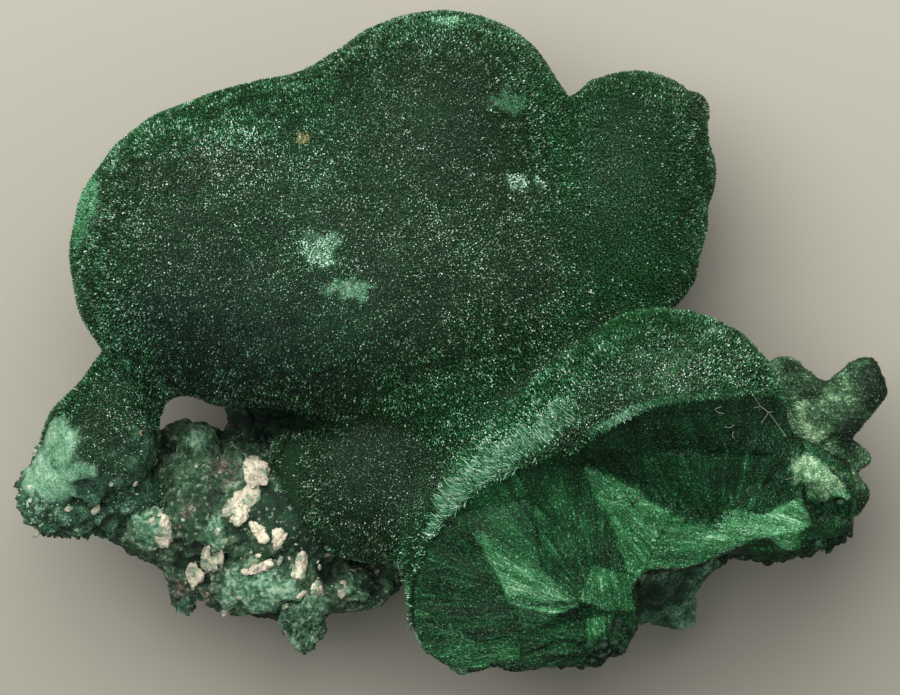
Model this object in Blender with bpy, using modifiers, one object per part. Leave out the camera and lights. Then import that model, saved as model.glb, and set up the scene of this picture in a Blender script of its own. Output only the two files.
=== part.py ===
"""Velvet malachite on the remains of its host rock, lying on its broken back.

Metres, +Z up. The origin is under the middle of the specimen, on the surface that it rests on.
X runs along the specimen's length and Y across it.
"""

import math

import bmesh
import bpy
from mathutils import Matrix, Vector

MM = 0.001

# Driving dimensions, in millimetres.
LENGTH = 73.8
WIDTH = 56.2
HEIGHT = 33.5
CLEARANCE = 0.3  # gap between touching pieces

VOXEL = 0.75  # grain of the skin that joins the lobes
GROWTH_TRIANGLES = 4100
ROCK_TRIANGLES = 1350

# Each lobe: centre x, y, z; radii along x, y, z; turn about Z in degrees.
UPPER_LOBES = {
    "left_dome": ((-21.1, 7.3, 21.5), (11.1, 12.3, 11.0), 0),
    "shoulder": ((-12.5, 12.0, 20.5), (11.5, 10.3, 10.6), 14),
    "crown": ((-1.1, 17.3, 19.5), (10.6, 10.6, 10.6), 0),
    "middle_dome": ((-5.0, 5.0, 20.5), (15.5, 12.2, 12.6), 8),
    "low_left": ((-13.5, 1.8, 21.0), (11.5, 8.0, 10.5), -4),
    "saddle": ((8.0, 6.4, 18.0), (8.8, 9.4, 10.4), 0),
    "right_dome": ((14.0, 11.6, 15.5), (7.2, 10.3, 9.0), 2),
    "right_knob": ((16.2, 17.6, 14.5), (5.0, 5.0, 6.0), 0),
    "neck": ((0.5, -4.5, 18.0), (8.0, 7.0, 9.6), 0),
    "lower_dome": ((-6.6, -10.4, 17.6), (9.3, 7.8, 8.6), -6),
}
BROKEN_LOBES = {
    "right_fan": ((17.4, -8.2, 20.5), (10.8, 10.9, 12.0), 0),
    "right_wing": ((26.6, -13.0, 17.5), (7.0, 5.7, 8.6), -6),
    "wing_tip": ((32.0, -15.0, 16.0), (2.4, 3.4, 5.0), 0),
    "bridge": ((8.2, -11.2, 20.5), (10.2, 7.5, 11.6), 44),
    "lower_fan": ((5.8, -18.9, 20.0), (9.6, 9.3, 11.5), 0),
}
ROOT_LOBES = {
    "root": ((-2.6, -1.4, 8.5), (17.0, 13.0, 11.5), 0),
    "right_root": ((14.0, -8.4, 8.5), (11.0, 9.0, 10.0), 0),
    "lower_root": ((18.4, -18.6, 9.5), (4.9, 3.8, 5.0), 0),
    "small_knob": ((18.8, -22.2, 8.5), (1.9, 2.2, 2.6), 0),
    "fan_back": ((3.4, -23.4, 12.0), (5.0, 3.6, 6.0), 0),
    "back_knob": ((6.0, 10.0, 10.5), (8.0, 7.5, 7.5), 0),
    "left_back_knob": ((-16.5, 8.0, 13.0), (7.5, 8.0, 7.5), 0),
}
SMALL_LOBES = {
    "arm": ((-28.2, -4.0, 18.5), (2.9, 4.6, 4.2), -30),
    "foot": ((-30.6, -9.2, 17.5), (5.2, 6.0, 6.4), -24),
    "foot_low": ((-33.0, -12.6, 16.5), (4.1, 3.8, 4.8), 0),
    "foot_lip": ((-27.6, -14.0, 15.5), (4.3, 3.1, 4.2), 0),
    "knob_edge": ((20.2, 19.6, 13.0), (1.6, 1.8, 2.4), 0),
    "leaf_spray": ((29.8, -5.7, 15.0), (2.8, 5.3, 3.8), 38),
    "spray_web": ((32.6, -6.6, 14.0), (2.4, 2.8, 3.4), 0),
    "upright_spray": ((34.4, -5.0, 14.5), (2.4, 4.4, 3.3), -22),
    "thorn_spray": ((33.2, -9.5, 14.0), (3.0, 1.7, 2.8), -12),
    "edge_spray": ((33.4, -12.6, 14.0), (2.1, 3.3, 3.4), 8),
}
ROCK_LUMPS = {
    "rock_base": ((-15.0, -12.0, 5.5), (13.5, 8.5, 7.5), 0),
    "rock_body": ((-18.5, -14.6, 13.0), (10.6, 7.4, 8.7), -10),
    "rock_shelf": ((-15.4, -20.6, 15.0), (6.6, 3.6, 5.4), -4),
    "rock_corner": ((-25.6, -15.4, 14.0), (4.8, 3.5, 5.7), -14),
    "rock_left": ((-21.8, -19.0, 12.5), (3.1, 2.9, 4.7), 0),
    "rock_point": ((-12.8, -23.8, 17.0), (2.1, 2.8, 3.1), 8),
    "rock_end": ((-8.2, -20.8, 12.5), (3.9, 2.4, 4.4), 8),
    "rock_arch": ((-4.8, -18.6, 12.0), (3.0, 1.9, 3.9), 0),
}

# Each broken face pair: a point on its valley line; how steeply its back and front faces
# rise from the line; the line's turn about Z and its dip; its length.
FRACTURES = {
    "notch": ((22.0, -11.4, 23.2), 49, 20, 5, 5, 22),
    "fan_step": ((14.0, -17.9, 24.6), 12, 20, -64, 6, 20),
    "fan_edge": ((3.1, -18.7, 26.0), 22, 14, -61, 11, 18),
}
FRACTURE_DEPTH = 16.0

# Pale grains: x, y where each sits on the rock, and its radii x, y, z with its turn.
GRAINS = {
    "pale_grain_01": ((-17.6, -11.1), (1.1, 1.7, 1.0), 20),
    "pale_grain_02": ((-18.5, -14.0), (1.0, 2.0, 0.9), -38),
    "pale_grain_03": ((-24.5, -16.4), (0.9, 1.1, 0.8), 0),
    "pale_grain_04": ((-20.7, -17.8), (1.0, 1.2, 0.9), 0),
    "pale_grain_05": ((-22.2, -19.9), (0.8, 1.1, 0.8), 10),
    "pale_grain_06": ((-16.6, -15.8), (1.0, 0.7, 0.7), -35),
    "pale_grain_07": ((-14.8, -17.0), (0.8, 1.0, 0.8), 15),
    "pale_grain_08": ((-16.5, -18.7), (1.3, 0.8, 0.8), 35),
    "pale_grain_09": ((-12.9, -19.2), (0.6, 1.5, 0.7), -5),
    "pale_grain_10": ((-11.2, -20.8), (0.9, 0.9, 0.8), 0),
    "pale_grain_11": ((-14.2, -23.2), (0.6, 1.1, 0.7), 25),
}
GRAIN_SINK = 0.35  # share of a grain's height that lies below the rock's skin


def clear_scene():
    for item in list(bpy.data.objects):
        bpy.data.objects.remove(item)


def collection(name):
    made = bpy.data.collections.new(name)
    bpy.context.scene.collection.children.link(made)
    return made


def material(name, colour, roughness):
    made = bpy.data.materials.new(name)
    made.use_nodes = True
    shader = made.node_tree.nodes["Principled BSDF"]
    shader.inputs["Base Color"].default_value = (*colour, 1.0)
    shader.inputs["Roughness"].default_value = roughness
    shader.inputs["Metallic"].default_value = 0.0
    return made


def add_lobe(bm, centre, radii, turn, detail):
    """One ellipsoid, from an icosphere, turned about Z."""
    place = Matrix.Translation(Vector(centre) * MM)
    spin = Matrix.Rotation(math.radians(turn), 4, "Z")
    stretch = Matrix.Diagonal(Vector((*radii, 1.0 / MM)) * MM)
    bmesh.ops.create_icosphere(
        bm, subdivisions=detail, radius=1.0, matrix=place @ spin @ stretch
    )


def lobed_object(name, lobes, look, home, detail=4):
    bm = bmesh.new()
    for centre, radii, turn in lobes.values():
        add_lobe(bm, centre, radii, turn, detail)
    mesh = bpy.data.meshes.new(name)
    bm.to_mesh(mesh)
    bm.free()
    made = bpy.data.objects.new(name, mesh)
    made.data.materials.append(look)
    home.objects.link(made)
    return made


def join_lobes(item, voxel, smoothing):
    """The lobes become one skin, and their creases are rounded."""
    remesh = item.modifiers.new("one_skin", "REMESH")
    remesh.mode = "VOXEL"
    remesh.voxel_size = voxel * MM
    smooth = item.modifiers.new("round_creases", "SMOOTH")
    smooth.factor = 0.5
    smooth.iterations = smoothing


def thin_out(item, voxel, area, triangles):
    """Fewer triangles, by the share that leaves about the wanted number."""
    thin = item.modifiers.new("fewer_faces", "DECIMATE")
    thin.ratio = triangles / (2.0 * area / voxel**2)


def roughen(item, size, depth):
    grain = bpy.data.textures.new(item.name + "_grain", "CLOUDS")
    grain.noise_scale = size * MM
    grain.noise_depth = 2
    bumps = item.modifiers.new("rough_break", "DISPLACE")
    bumps.texture = grain
    bumps.texture_coords = "GLOBAL"
    bumps.mid_level = 0.5
    bumps.strength = depth * MM


def hide_cutter(item):
    item.hide_render = True
    item.display_type = "WIRE"


def wedge(name, corner, back, front, turn, dip, length, home):
    """A bar of diamond section whose lowest edge runs through corner.

    Its two lower faces rise from that edge at the angles back and front.
    """
    opening = math.radians(180.0 - back - front)
    bm = bmesh.new()
    bmesh.ops.create_cube(bm, size=1.0)
    bmesh.ops.rotate(bm, verts=bm.verts, matrix=Matrix.Rotation(math.pi / 4, 3, "X"))
    half = math.sqrt(0.5)
    size = (length, FRACTURE_DEPTH * math.tan(opening / 2) / half, FRACTURE_DEPTH / half)
    bmesh.ops.scale(bm, verts=bm.verts, vec=Vector(size) * MM)
    bmesh.ops.translate(bm, verts=bm.verts, vec=(0, 0, FRACTURE_DEPTH * MM))
    mesh = bpy.data.meshes.new(name)
    bm.to_mesh(mesh)
    bm.free()
    made = bpy.data.objects.new(name, mesh)
    made.location = Vector(corner) * MM
    made.rotation_euler = [math.radians(a) for a in ((back - front) / 2, dip, turn)]
    home.objects.link(made)
    hide_cutter(made)
    return made


def floor_block(home):
    """Everything under the resting surface."""
    depth = 30.0
    bm = bmesh.new()
    bmesh.ops.create_cube(bm, size=1.0)
    bmesh.ops.scale(bm, verts=bm.verts, vec=Vector((2 * LENGTH, 2 * WIDTH, depth)) * MM)
    bmesh.ops.translate(bm, verts=bm.verts, vec=Vector((0, 0, -depth / 2)) * MM)
    mesh = bpy.data.meshes.new("resting_surface")
    bm.to_mesh(mesh)
    bm.free()
    made = bpy.data.objects.new("resting_surface", mesh)
    home.objects.link(made)
    hide_cutter(made)
    return made


def combine(item, other, operation):
    boolean = item.modifiers.new(other.name, "BOOLEAN")
    boolean.operation = operation
    boolean.object = other


def grow(item, amount):
    """Move the skin outwards by amount."""
    outwards = item.modifiers.new("grow", "DISPLACE")
    outwards.mid_level = 0.0
    outwards.strength = amount * MM


def swollen_copy(item, home):
    """The same solid, grown outwards: it leaves the gap round its neighbour."""
    made = item.copy()
    made.data = item.data.copy()
    made.name = item.name + "_clearance"
    grow(made, CLEARANCE)
    home.objects.link(made)
    hide_cutter(made)
    return made


def height_at(item, x, y):
    """Height of an object's skin above (x, y), seen from above."""
    bpy.context.view_layer.update()
    skin = item.evaluated_get(bpy.context.evaluated_depsgraph_get())
    start = Vector((x, y, 2 * HEIGHT)) * MM
    found, point, _, _ = skin.ray_cast(start, Vector((0, 0, -1)))
    return point.z / MM if found else 0.0


def build_growth(home, cutters, look):
    upper = lobed_object("upper_mass", UPPER_LOBES, look, cutters)
    join_lobes(upper, VOXEL, 40)
    grow(upper, 0.6)
    hide_cutter(upper)
    lobes = BROKEN_LOBES | ROOT_LOBES | SMALL_LOBES
    growth = lobed_object("malachite_growth", lobes, look, home)
    join_lobes(growth, VOXEL, 6)
    combine(growth, upper, "UNION")
    join_lobes(growth, VOXEL, 4)
    thin_out(growth, VOXEL, 8600.0, GROWTH_TRIANGLES)
    for name, fracture in FRACTURES.items():
        combine(growth, wedge(name, *fracture, cutters), "DIFFERENCE")
    return growth


def build_rock(home, cutters, growth, look):
    rock = lobed_object("host_rock", ROCK_LUMPS, look, home)
    join_lobes(rock, VOXEL, 3)
    roughen(rock, 2.6, 1.8)
    thin_out(rock, VOXEL, 3300.0, ROCK_TRIANGLES)
    combine(rock, swollen_copy(growth, cutters), "DIFFERENCE")
    return rock


def build_grains(home, cutters, rock, look):
    heights = {
        name: height_at(rock, *place) for name, (place, _, _) in GRAINS.items()
    }
    for name, (place, radii, turn) in GRAINS.items():
        rise = radii[2] * (1.0 - 2.0 * GRAIN_SINK)
        centre = (*place, heights[name] + rise)
        grain = lobed_object(name, {name: (centre, radii, turn)}, look, home, 2)
        roughen(grain, 1.2, 0.45)
        combine(rock, swollen_copy(grain, cutters), "DIFFERENCE")


def main():
    clear_scene()
    parts = collection("malachite_specimen")
    cutters = collection("cutters")
    velvet = material("velvet malachite", (0.020, 0.105, 0.050), 0.75)
    stone = material("green stained host rock", (0.110, 0.190, 0.130), 0.90)
    cream = material("pale gangue", (0.720, 0.680, 0.560), 0.80)
    growth = build_growth(parts, cutters, velvet)
    rock = build_rock(parts, cutters, growth, stone)
    build_grains(parts, cutters, rock, cream)
    floor = floor_block(cutters)
    combine(growth, floor, "DIFFERENCE")
    combine(rock, floor, "DIFFERENCE")


main()
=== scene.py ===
from itertools import combinations

import bpy
import numpy as np

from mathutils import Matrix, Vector
from mathutils.geometry import tessellate_polygon


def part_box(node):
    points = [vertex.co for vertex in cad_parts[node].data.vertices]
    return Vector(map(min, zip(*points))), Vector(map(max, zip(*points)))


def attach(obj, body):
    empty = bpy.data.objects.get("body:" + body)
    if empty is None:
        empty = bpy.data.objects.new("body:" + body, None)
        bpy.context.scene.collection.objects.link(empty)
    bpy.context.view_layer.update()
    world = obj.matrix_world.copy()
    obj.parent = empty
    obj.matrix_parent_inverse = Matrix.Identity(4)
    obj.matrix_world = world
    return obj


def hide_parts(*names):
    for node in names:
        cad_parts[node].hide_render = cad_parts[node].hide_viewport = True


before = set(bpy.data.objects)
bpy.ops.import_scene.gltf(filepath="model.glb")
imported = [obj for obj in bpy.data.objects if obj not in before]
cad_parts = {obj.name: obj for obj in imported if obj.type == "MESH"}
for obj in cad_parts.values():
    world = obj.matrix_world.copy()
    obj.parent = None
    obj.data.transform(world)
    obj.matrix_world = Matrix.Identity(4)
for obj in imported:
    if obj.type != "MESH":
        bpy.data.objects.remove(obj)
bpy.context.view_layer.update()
mm = 0.001
chance = np.random.default_rng(41)
coarse = 1.0


def scrambled(ix, iy, iz, seed):
    # whole-number places become fixed numbers from 0 to 1, by xor, multiply and shift
    mixed = ix.astype(np.uint32) * np.uint32(374761393)
    mixed ^= iy.astype(np.uint32) * np.uint32(668265263)
    mixed ^= iz.astype(np.uint32) * np.uint32(2246822519)
    mixed ^= np.uint32(seed * 40503 + 977)
    mixed = (mixed ^ (mixed >> np.uint32(15))) * np.uint32(2246822519)
    mixed = (mixed ^ (mixed >> np.uint32(13))) * np.uint32(3266489917)
    return (mixed ^ (mixed >> np.uint32(16))) / 4294967295.0


def softNoise(points, size, seed):
    # the eight corner numbers of each cell of this size, eased together; -1 to 1
    cell = np.floor(points / size)
    ease = points / size - cell
    ease = ease**3 * (ease * (ease * 6 - 15) + 10)
    cell = cell.astype(np.int64)
    total = 0.0
    for corner in range(8):
        dx, dy, dz = corner & 1, corner >> 1 & 1, corner >> 2
        weight = (ease[:, 0] if dx else 1 - ease[:, 0]) * (ease[:, 1] if dy else 1 - ease[:, 1])
        weight = weight * (ease[:, 2] if dz else 1 - ease[:, 2])
        total = total + weight * scrambled(cell[:, 0] + dx, cell[:, 1] + dy, cell[:, 2] + dz, seed)
    return 2 * total - 1


def layeredNoise(points, size, layers, seed, fade=0.5):
    # soft noise added to itself at half the size and fade times the height, layer after layer
    total, height = 0.0, 1.0
    for layer in range(layers):
        total = total + height * softNoise(points + 17.3 * layer, size / 2**layer, seed + layer)
        height *= fade
    return total


def grainNoise(points, size, seed):
    # one scattered point in each cell: distance to the nearest and second nearest, over size,
    # and a fixed number for the nearest
    scaled = points / size
    cell = np.floor(scaled).astype(np.int64)
    first = np.full(len(points), 9.0)
    second = first.copy()
    mark = np.zeros(len(points))
    for step in range(27):
        near = cell + np.array([step % 3 - 1, step // 3 % 3 - 1, step // 9 - 1])
        parts = [scrambled(near[:, 0], near[:, 1], near[:, 2], seed + k) for k in range(4)]
        gap = np.sqrt(sum((near[:, k] + parts[k] - scaled[:, k]) ** 2 for k in range(3)))
        closer = gap < first
        second = np.where(closer, first, np.minimum(second, gap))
        mark = np.where(closer, parts[3], mark)
        first = np.where(closer, gap, first)
    return first, second, mark


def easeBetween(low, high, value):
    # 0 below low, 1 above high, and 3t^2 - 2t^3 between
    t = np.clip((value - low) / (high - low), 0, 1)
    return t * t * (3 - 2 * t)


def lobeDistance(points, lobe):
    # k0 (k0 - 1) / k1: about how far outside an ellipsoid turned about Z a point is; a fifth value
    # is the lobe's depth below its middle, where that isn't its height above it
    centre, radii, turn = np.array(lobe[0]), np.array(lobe[1]), np.radians(lobe[2])
    away = points - centre
    reach = np.broadcast_to(radii, away.shape).copy()
    if len(lobe) > 4:
        reach[away[:, 2] < 0, 2] = lobe[4]
    along = away[:, 0] * np.cos(turn) + away[:, 1] * np.sin(turn)
    across = away[:, 1] * np.cos(turn) - away[:, 0] * np.sin(turn)
    local = np.stack([along, across, away[:, 2]], 1) / reach
    k0 = np.sqrt((local**2).sum(1))
    k1 = np.sqrt(((local / reach) ** 2).sum(1))
    return k0 * (k0 - 1) / np.maximum(k1, 1e-6)


def softJoin(a, b, width):
    # the lower of two distances, with a rounded valley of this width between them
    share = np.clip(0.5 + 0.5 * (b - a) / width, 0, 1)
    return b * (1 - share) + a * share - width * share * (1 - share)


def softCut(a, b, width):
    return -softJoin(-a, -b, width)


def joinedLobes(points, lobes):
    distance = None
    for lobe in lobes.values():
        own = lobeDistance(points, lobe)
        distance = own if distance is None else softJoin(distance, own, lobe[3])
    return distance


def tubeWalls(around, rows):
    # the four-cornered cells between each ring of corners and the next
    ring = np.arange(around)
    steps = np.arange(rows - 1)[:, None] * around
    start, side = (steps + ring).ravel(), (steps + (ring + 1) % around).ravel()
    return np.stack([start, side, side + around, start + around], 1)


def ballGrid(around, rows):
    # ways (cos v cos u, cos v sin u, sin v), u round the ball and v from pole to pole, and the
    # triangles between them; two more corners, past the last row, close the poles
    u = np.arange(around) * 2 * np.pi / around
    v = np.linspace(-np.pi / 2, np.pi / 2, rows)
    v[[0, -1]] *= 0.9999
    u, v = np.meshgrid(u, v)
    ways = np.stack([np.cos(v) * np.cos(u), np.cos(v) * np.sin(u), np.sin(v)], -1).reshape(-1, 3)
    walls = tubeWalls(around, rows)
    ring, last = np.arange(around), (rows - 1) * around
    turned = (ring + 1) % around
    foot = np.stack([np.full(around, len(ways)), turned, ring], 1)
    head = np.stack([np.full(around, len(ways) + 1), ring + last, turned + last], 1)
    return ways, np.concatenate([walls[:, [0, 1, 2]], walls[:, [0, 2, 3]], foot, head])


def closed(points, around):
    # the middles of the first and the last ring close the poles
    return np.concatenate([points, [points[:around].mean(0), points[-around:].mean(0)]])


def lobeShell(lobe, field, steps, reach):
    # place(u, v) = centre + t(u, v) way(u, v): t starts on the lobe's own skin and walks to where
    # the joined field is nought
    centre, radii, turn = np.array(lobe[0]), np.array(lobe[1]), np.radians(lobe[2])
    way, faces = ballGrid(*steps)
    way = way * radii
    if len(lobe) > 4:
        way[:, 2] *= np.where(way[:, 2] < 0, lobe[4] / radii[2], 1)
    c, s = np.cos(turn), np.sin(turn)
    way[:, :2] = way[:, :2] @ np.array([[c, s], [-s, c]])
    own = np.sqrt((way**2).sum(1))
    way = way / own[:, None]
    t = own.copy()
    for _ in range(9):
        t = np.clip(t - 0.9 * field(centre + way * t[:, None]), 0.3, own + reach)
    return closed(centre + way * t[:, None], steps[0]), faces


def joined(shells):
    # several lots of points and faces as one lot
    starts = np.cumsum([0] + [len(points) for points, _ in shells[:-1]])
    points = np.concatenate([points for points, _ in shells])
    return points, np.concatenate([faces + start for (_, faces), start in zip(shells, starts)])


def meshOf(name, points, faces):
    # rows of corner numbers become faces; the numbers go in whole arrays
    mesh = bpy.data.meshes.new(name)
    mesh.vertices.add(len(points))
    mesh.vertices.foreach_set("co", np.ascontiguousarray(points, np.float32).ravel())
    mesh.loops.add(faces.size)
    mesh.loops.foreach_set("vertex_index", np.ascontiguousarray(faces, np.int32).ravel())
    mesh.polygons.add(len(faces))
    mesh.polygons.foreach_set("loop_start", np.arange(0, faces.size, faces.shape[1], dtype=np.int32))
    mesh.update(calc_edges=True)
    return mesh


def makePiece(name, points, faces, finish, slot, stands, smooth=True, readings=None):
    # points in millimetres; stands are the CAD nodes that it shows; readings are named numbers or
    # vectors, one for each point
    mesh = meshOf(name, points * mm, faces)
    mesh.polygons.foreach_set("use_smooth", np.full(len(faces), smooth))
    for word, values in (readings or {}).items():
        values = np.asarray(values, np.float32)
        kind, port = ("FLOAT", "value") if values.ndim == 1 else ("FLOAT_VECTOR", "vector")
        mesh.attributes.new(word, kind, "POINT").data.foreach_set(port, values.ravel())
    mesh.materials.append(finish)
    piece = bpy.data.objects.new(name, mesh)
    bpy.context.scene.collection.objects.link(piece)
    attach(piece, "root")
    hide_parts(*stands)
    print(f"{name}: {(faces.shape[1] - 2) * len(faces)} triangles")
    return piece


growth = ("velvet_malachite", ["malachite_growth"])  # slot and node
hostRock = ("stained_rock", ["host_rock"])


def oneSkin(shells, grain):
    # overlapping closed shells become one closed skin of quads, by a voxel remesh of this grain
    mesh = meshOf("shells", *joined(shells))
    holder = bpy.data.objects.new("shells", mesh)
    bpy.context.scene.collection.objects.link(holder)
    remesh = holder.modifiers.new("oneSkin", "REMESH")
    remesh.mode = "VOXEL"
    remesh.voxel_size = grain
    skin = holder.evaluated_get(bpy.context.evaluated_depsgraph_get()).to_mesh()
    made = np.empty(len(skin.vertices) * 3, np.float32)
    skin.vertices.foreach_get("co", made)
    corners = np.empty(len(skin.loops), np.int32)
    skin.loops.foreach_get("vertex_index", corners)
    bpy.data.objects.remove(holder)
    bpy.data.meshes.remove(mesh)
    return made.reshape(-1, 3).astype(float), corners.reshape(-1, 4)


def slopeOf(points, field, value=None):
    # how the field changes over 0.02 mm along X, Y and Z
    step = 0.02
    value = field(points) if value is None else value
    parts = [(field(points + step * np.eye(3)[k]) - value) / step for k in range(3)]
    return np.stack(parts, 1)


def settled(points, field, rounds):
    # each point slides down the field's slope to where the field is nought
    for _ in range(rounds):
        value = field(points)
        slope = slopeOf(points, field, value)
        size = np.maximum((slope**2).sum(1), 0.25)
        points = points - (np.clip(value, -0.4, 0.4) / size)[:, None] * slope
    return points


def outwardOf(points, field):
    slope = slopeOf(points, field)
    return slope / np.maximum(np.sqrt((slope**2).sum(1)), 1e-6)[:, None]


def cornerNormals(points, faces):
    # each corner's normal is the sum of its faces' normals, which weighs them by area
    one = points[faces[:, 2]] - points[faces[:, 0]]
    other = points[faces[:, -1]] - points[faces[:, 1]]
    face = np.cross(one, other)
    total = np.zeros_like(points)
    for k in range(faces.shape[1]):
        for axis in range(3):
            total[:, axis] += np.bincount(faces[:, k], face[:, axis], len(points))
    return total / np.maximum(np.sqrt((total**2).sum(1)), 1e-9)[:, None]


def mathNode(operation, swapped=False):
    # an operator that adds this Math node; a swapped one has the signal on its right
    def operator(signal, other):
        return signal.reckon(operation, *((other, signal) if swapped else (signal, other)))

    return operator


class Signal:
    # a socket that is reckoned with as a number is; every operator adds one Math node
    def __init__(self, look, socket):
        self.look, self.socket = look, socket

    def reckon(self, operation, *values):
        return self.look.node("ShaderNodeMath", {"operation": operation}, dict(enumerate(values)))

    def above(self, low, high):
        # 0 below low, 1 above high, straight between
        ports = {"Value": self, "From Min": low, "From Max": high}
        return self.look.node("ShaderNodeMapRange", {"clamp": True}, ports)

    __add__, __radd__ = mathNode("ADD"), mathNode("ADD", True)
    __sub__, __rsub__ = mathNode("SUBTRACT"), mathNode("SUBTRACT", True)
    __mul__, __rmul__ = mathNode("MULTIPLY"), mathNode("MULTIPLY", True)
    __gt__ = mathNode("GREATER_THAN")


class Look:
    # one material: its nodes, and the Principled shader they feed
    def __init__(self, name, **settings):
        self.material = bpy.data.materials.new(name)
        self.material.use_nodes = True
        self.tree = self.material.node_tree
        self.shader = self.tree.nodes["Principled BSDF"]
        for socket, value in settings.items():
            self.set(socket.replace("_", " "), value)

    def node(self, kind, settings=None, ports=None, out=0):
        # settings go first, then each socket gets its value or its link
        made = self.tree.nodes.new(kind)
        for word, value in (settings or {}).items():
            setattr(made, word, value)
        for port, value in (ports or {}).items():
            self.feed(made.inputs[port], value)
        return Signal(self, made.outputs[out])

    def feed(self, socket, value):
        if isinstance(value, Signal):
            self.tree.links.new(value.socket, socket)
        elif isinstance(value, tuple) and socket.type == "RGBA":
            socket.default_value = (*value, 1)
        else:
            socket.default_value = value

    def set(self, socket, value):
        self.feed(self.shader.inputs[socket], value)

    def place(self):
        return self.node("ShaderNodeTexCoord", out=3)

    def reading(self, word, vector=False):
        return self.node("ShaderNodeAttribute", {"attribute_name": word}, out=1 if vector else 2)

    def part(self, vector, axis):
        return self.node("ShaderNodeSeparateXYZ", None, {0: vector}, axis)

    def noise(self, place, scale, detail=2.0, roughness=0.5):
        ports = {"Vector": place, "Scale": scale, "Detail": detail, "Roughness": roughness}
        return self.node("ShaderNodeTexNoise", None, ports)

    def ramp(self, value, stops):
        # stops are places and their colours, from low to high
        ramp = self.node("ShaderNodeValToRGB", None, {0: value})
        elements = ramp.socket.node.color_ramp.elements
        while len(elements) < len(stops):
            elements.new(0.5)
        for element, (place, colour) in zip(elements, stops):
            element.position, element.color = place, (*colour, 1)
        return ramp

    def mix(self, share, first, second, blend="MIX"):
        settings = {"data_type": "RGBA", "blend_type": blend}
        return self.node("ShaderNodeMix", settings, {0: share, 6: first, 7: second}, out=2)

    def bump(self, height, depth, strength):
        # depth in metres
        ports = {"Height": height, "Distance": depth, "Strength": strength}
        self.set("Normal", self.node("ShaderNodeBump", None, ports))


def skinLook():
    # what shows between the needles, and the bare crusts
    look = Look("malachite under the pile", Roughness=0.8, Specular_IOR_Level=0.25)
    place = look.place()
    fine = look.noise(place, 5200.0)
    broad = look.noise(place, 260.0, 3.0)
    middle = look.noise(place, 1100.0, 4.0, 0.7)
    dark = look.mix(fine.above(0.35, 0.7), (0.002, 0.012, 0.004), (0.006, 0.042, 0.012))
    dark = look.mix(broad.above(0.5, 0.75) * 0.5, dark, (0.006, 0.048, 0.014))
    crust = look.ramp(fine * 0.35 + broad * 0.25 + middle * 0.4, [
        (0.37, (0.016, 0.066, 0.028)), (0.47, (0.074, 0.185, 0.100)),
        (0.55, (0.155, 0.300, 0.180)), (0.65, (0.38, 0.54, 0.40)),
    ])
    # painted shade: the bare skin is lighter on the tops of its lumps and darker in the hollows between them
    level = fine * 0.30 + broad * 0.30 + middle * 0.40 + (look.reading("raised") - 0.5) * 0.20
    bare = look.ramp(level, [
        (0.38, (0.002, 0.010, 0.004)), (0.48, (0.009, 0.036, 0.016)),
        (0.56, (0.042, 0.115, 0.062)), (0.65, (0.20, 0.31, 0.21)),
    ])
    colour = look.mix(look.reading("bare"), dark, bare)
    look.set("Base Color", look.mix(look.reading("crust"), colour, crust))
    look.bump(fine * 0.5 + middle * 0.5, 0.0003, 0.7)
    return look.material


# the pile's map: three columns side by side, each from root to tip, and up them from dark to pale
pile = {
    "gray": [(0.0, (0.005, 0.016, 0.005)), (0.3, (0.021, 0.059, 0.018)), (0.6, (0.105, 0.178, 0.092)),
             (0.8, (0.30, 0.43, 0.31)), (1.0, (0.76, 0.89, 0.80))],
    "green": [(0.0, (0.003, 0.018, 0.004)), (0.3, (0.015, 0.082, 0.021)), (0.6, (0.055, 0.240, 0.088)),
              (0.8, (0.20, 0.52, 0.29)), (1.0, (0.66, 0.86, 0.70))],
    "blue": [(0.0, (0.002, 0.008, 0.007)), (0.3, (0.009, 0.030, 0.024)), (0.6, (0.045, 0.115, 0.080)),
             (0.8, (0.22, 0.42, 0.32)), (1.0, (0.62, 0.78, 0.68))],
    "root": 0.10,  # how bright the roots are next to the tips, as painted shade deep in the pile
    "columns": 3,
}


def pileLook():
    look = Look("malachite pile", Roughness=0.38, Specular_IOR_Level=0.45)
    spot = look.node("ShaderNodeUVMap", {"uv_map": "pile"})
    across, tone = look.part(spot, 0) * pile["columns"], look.part(spot, 1)
    column = across.reckon("FLOOR", across)
    colour = look.mix(column > 0.5, look.ramp(tone, pile["gray"]), look.ramp(tone, pile["green"]))
    colour = look.mix(column > 1.5, colour, look.ramp(tone, pile["blue"]))
    # painted shade: each needle darkens from its tip to its root
    shade = pile["root"] + (1 - pile["root"]) * (across - column).above(0.0, 0.8)
    look.set("Base Color", look.mix(1.0, colour, shade, "MULTIPLY"))
    return look.material


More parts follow.
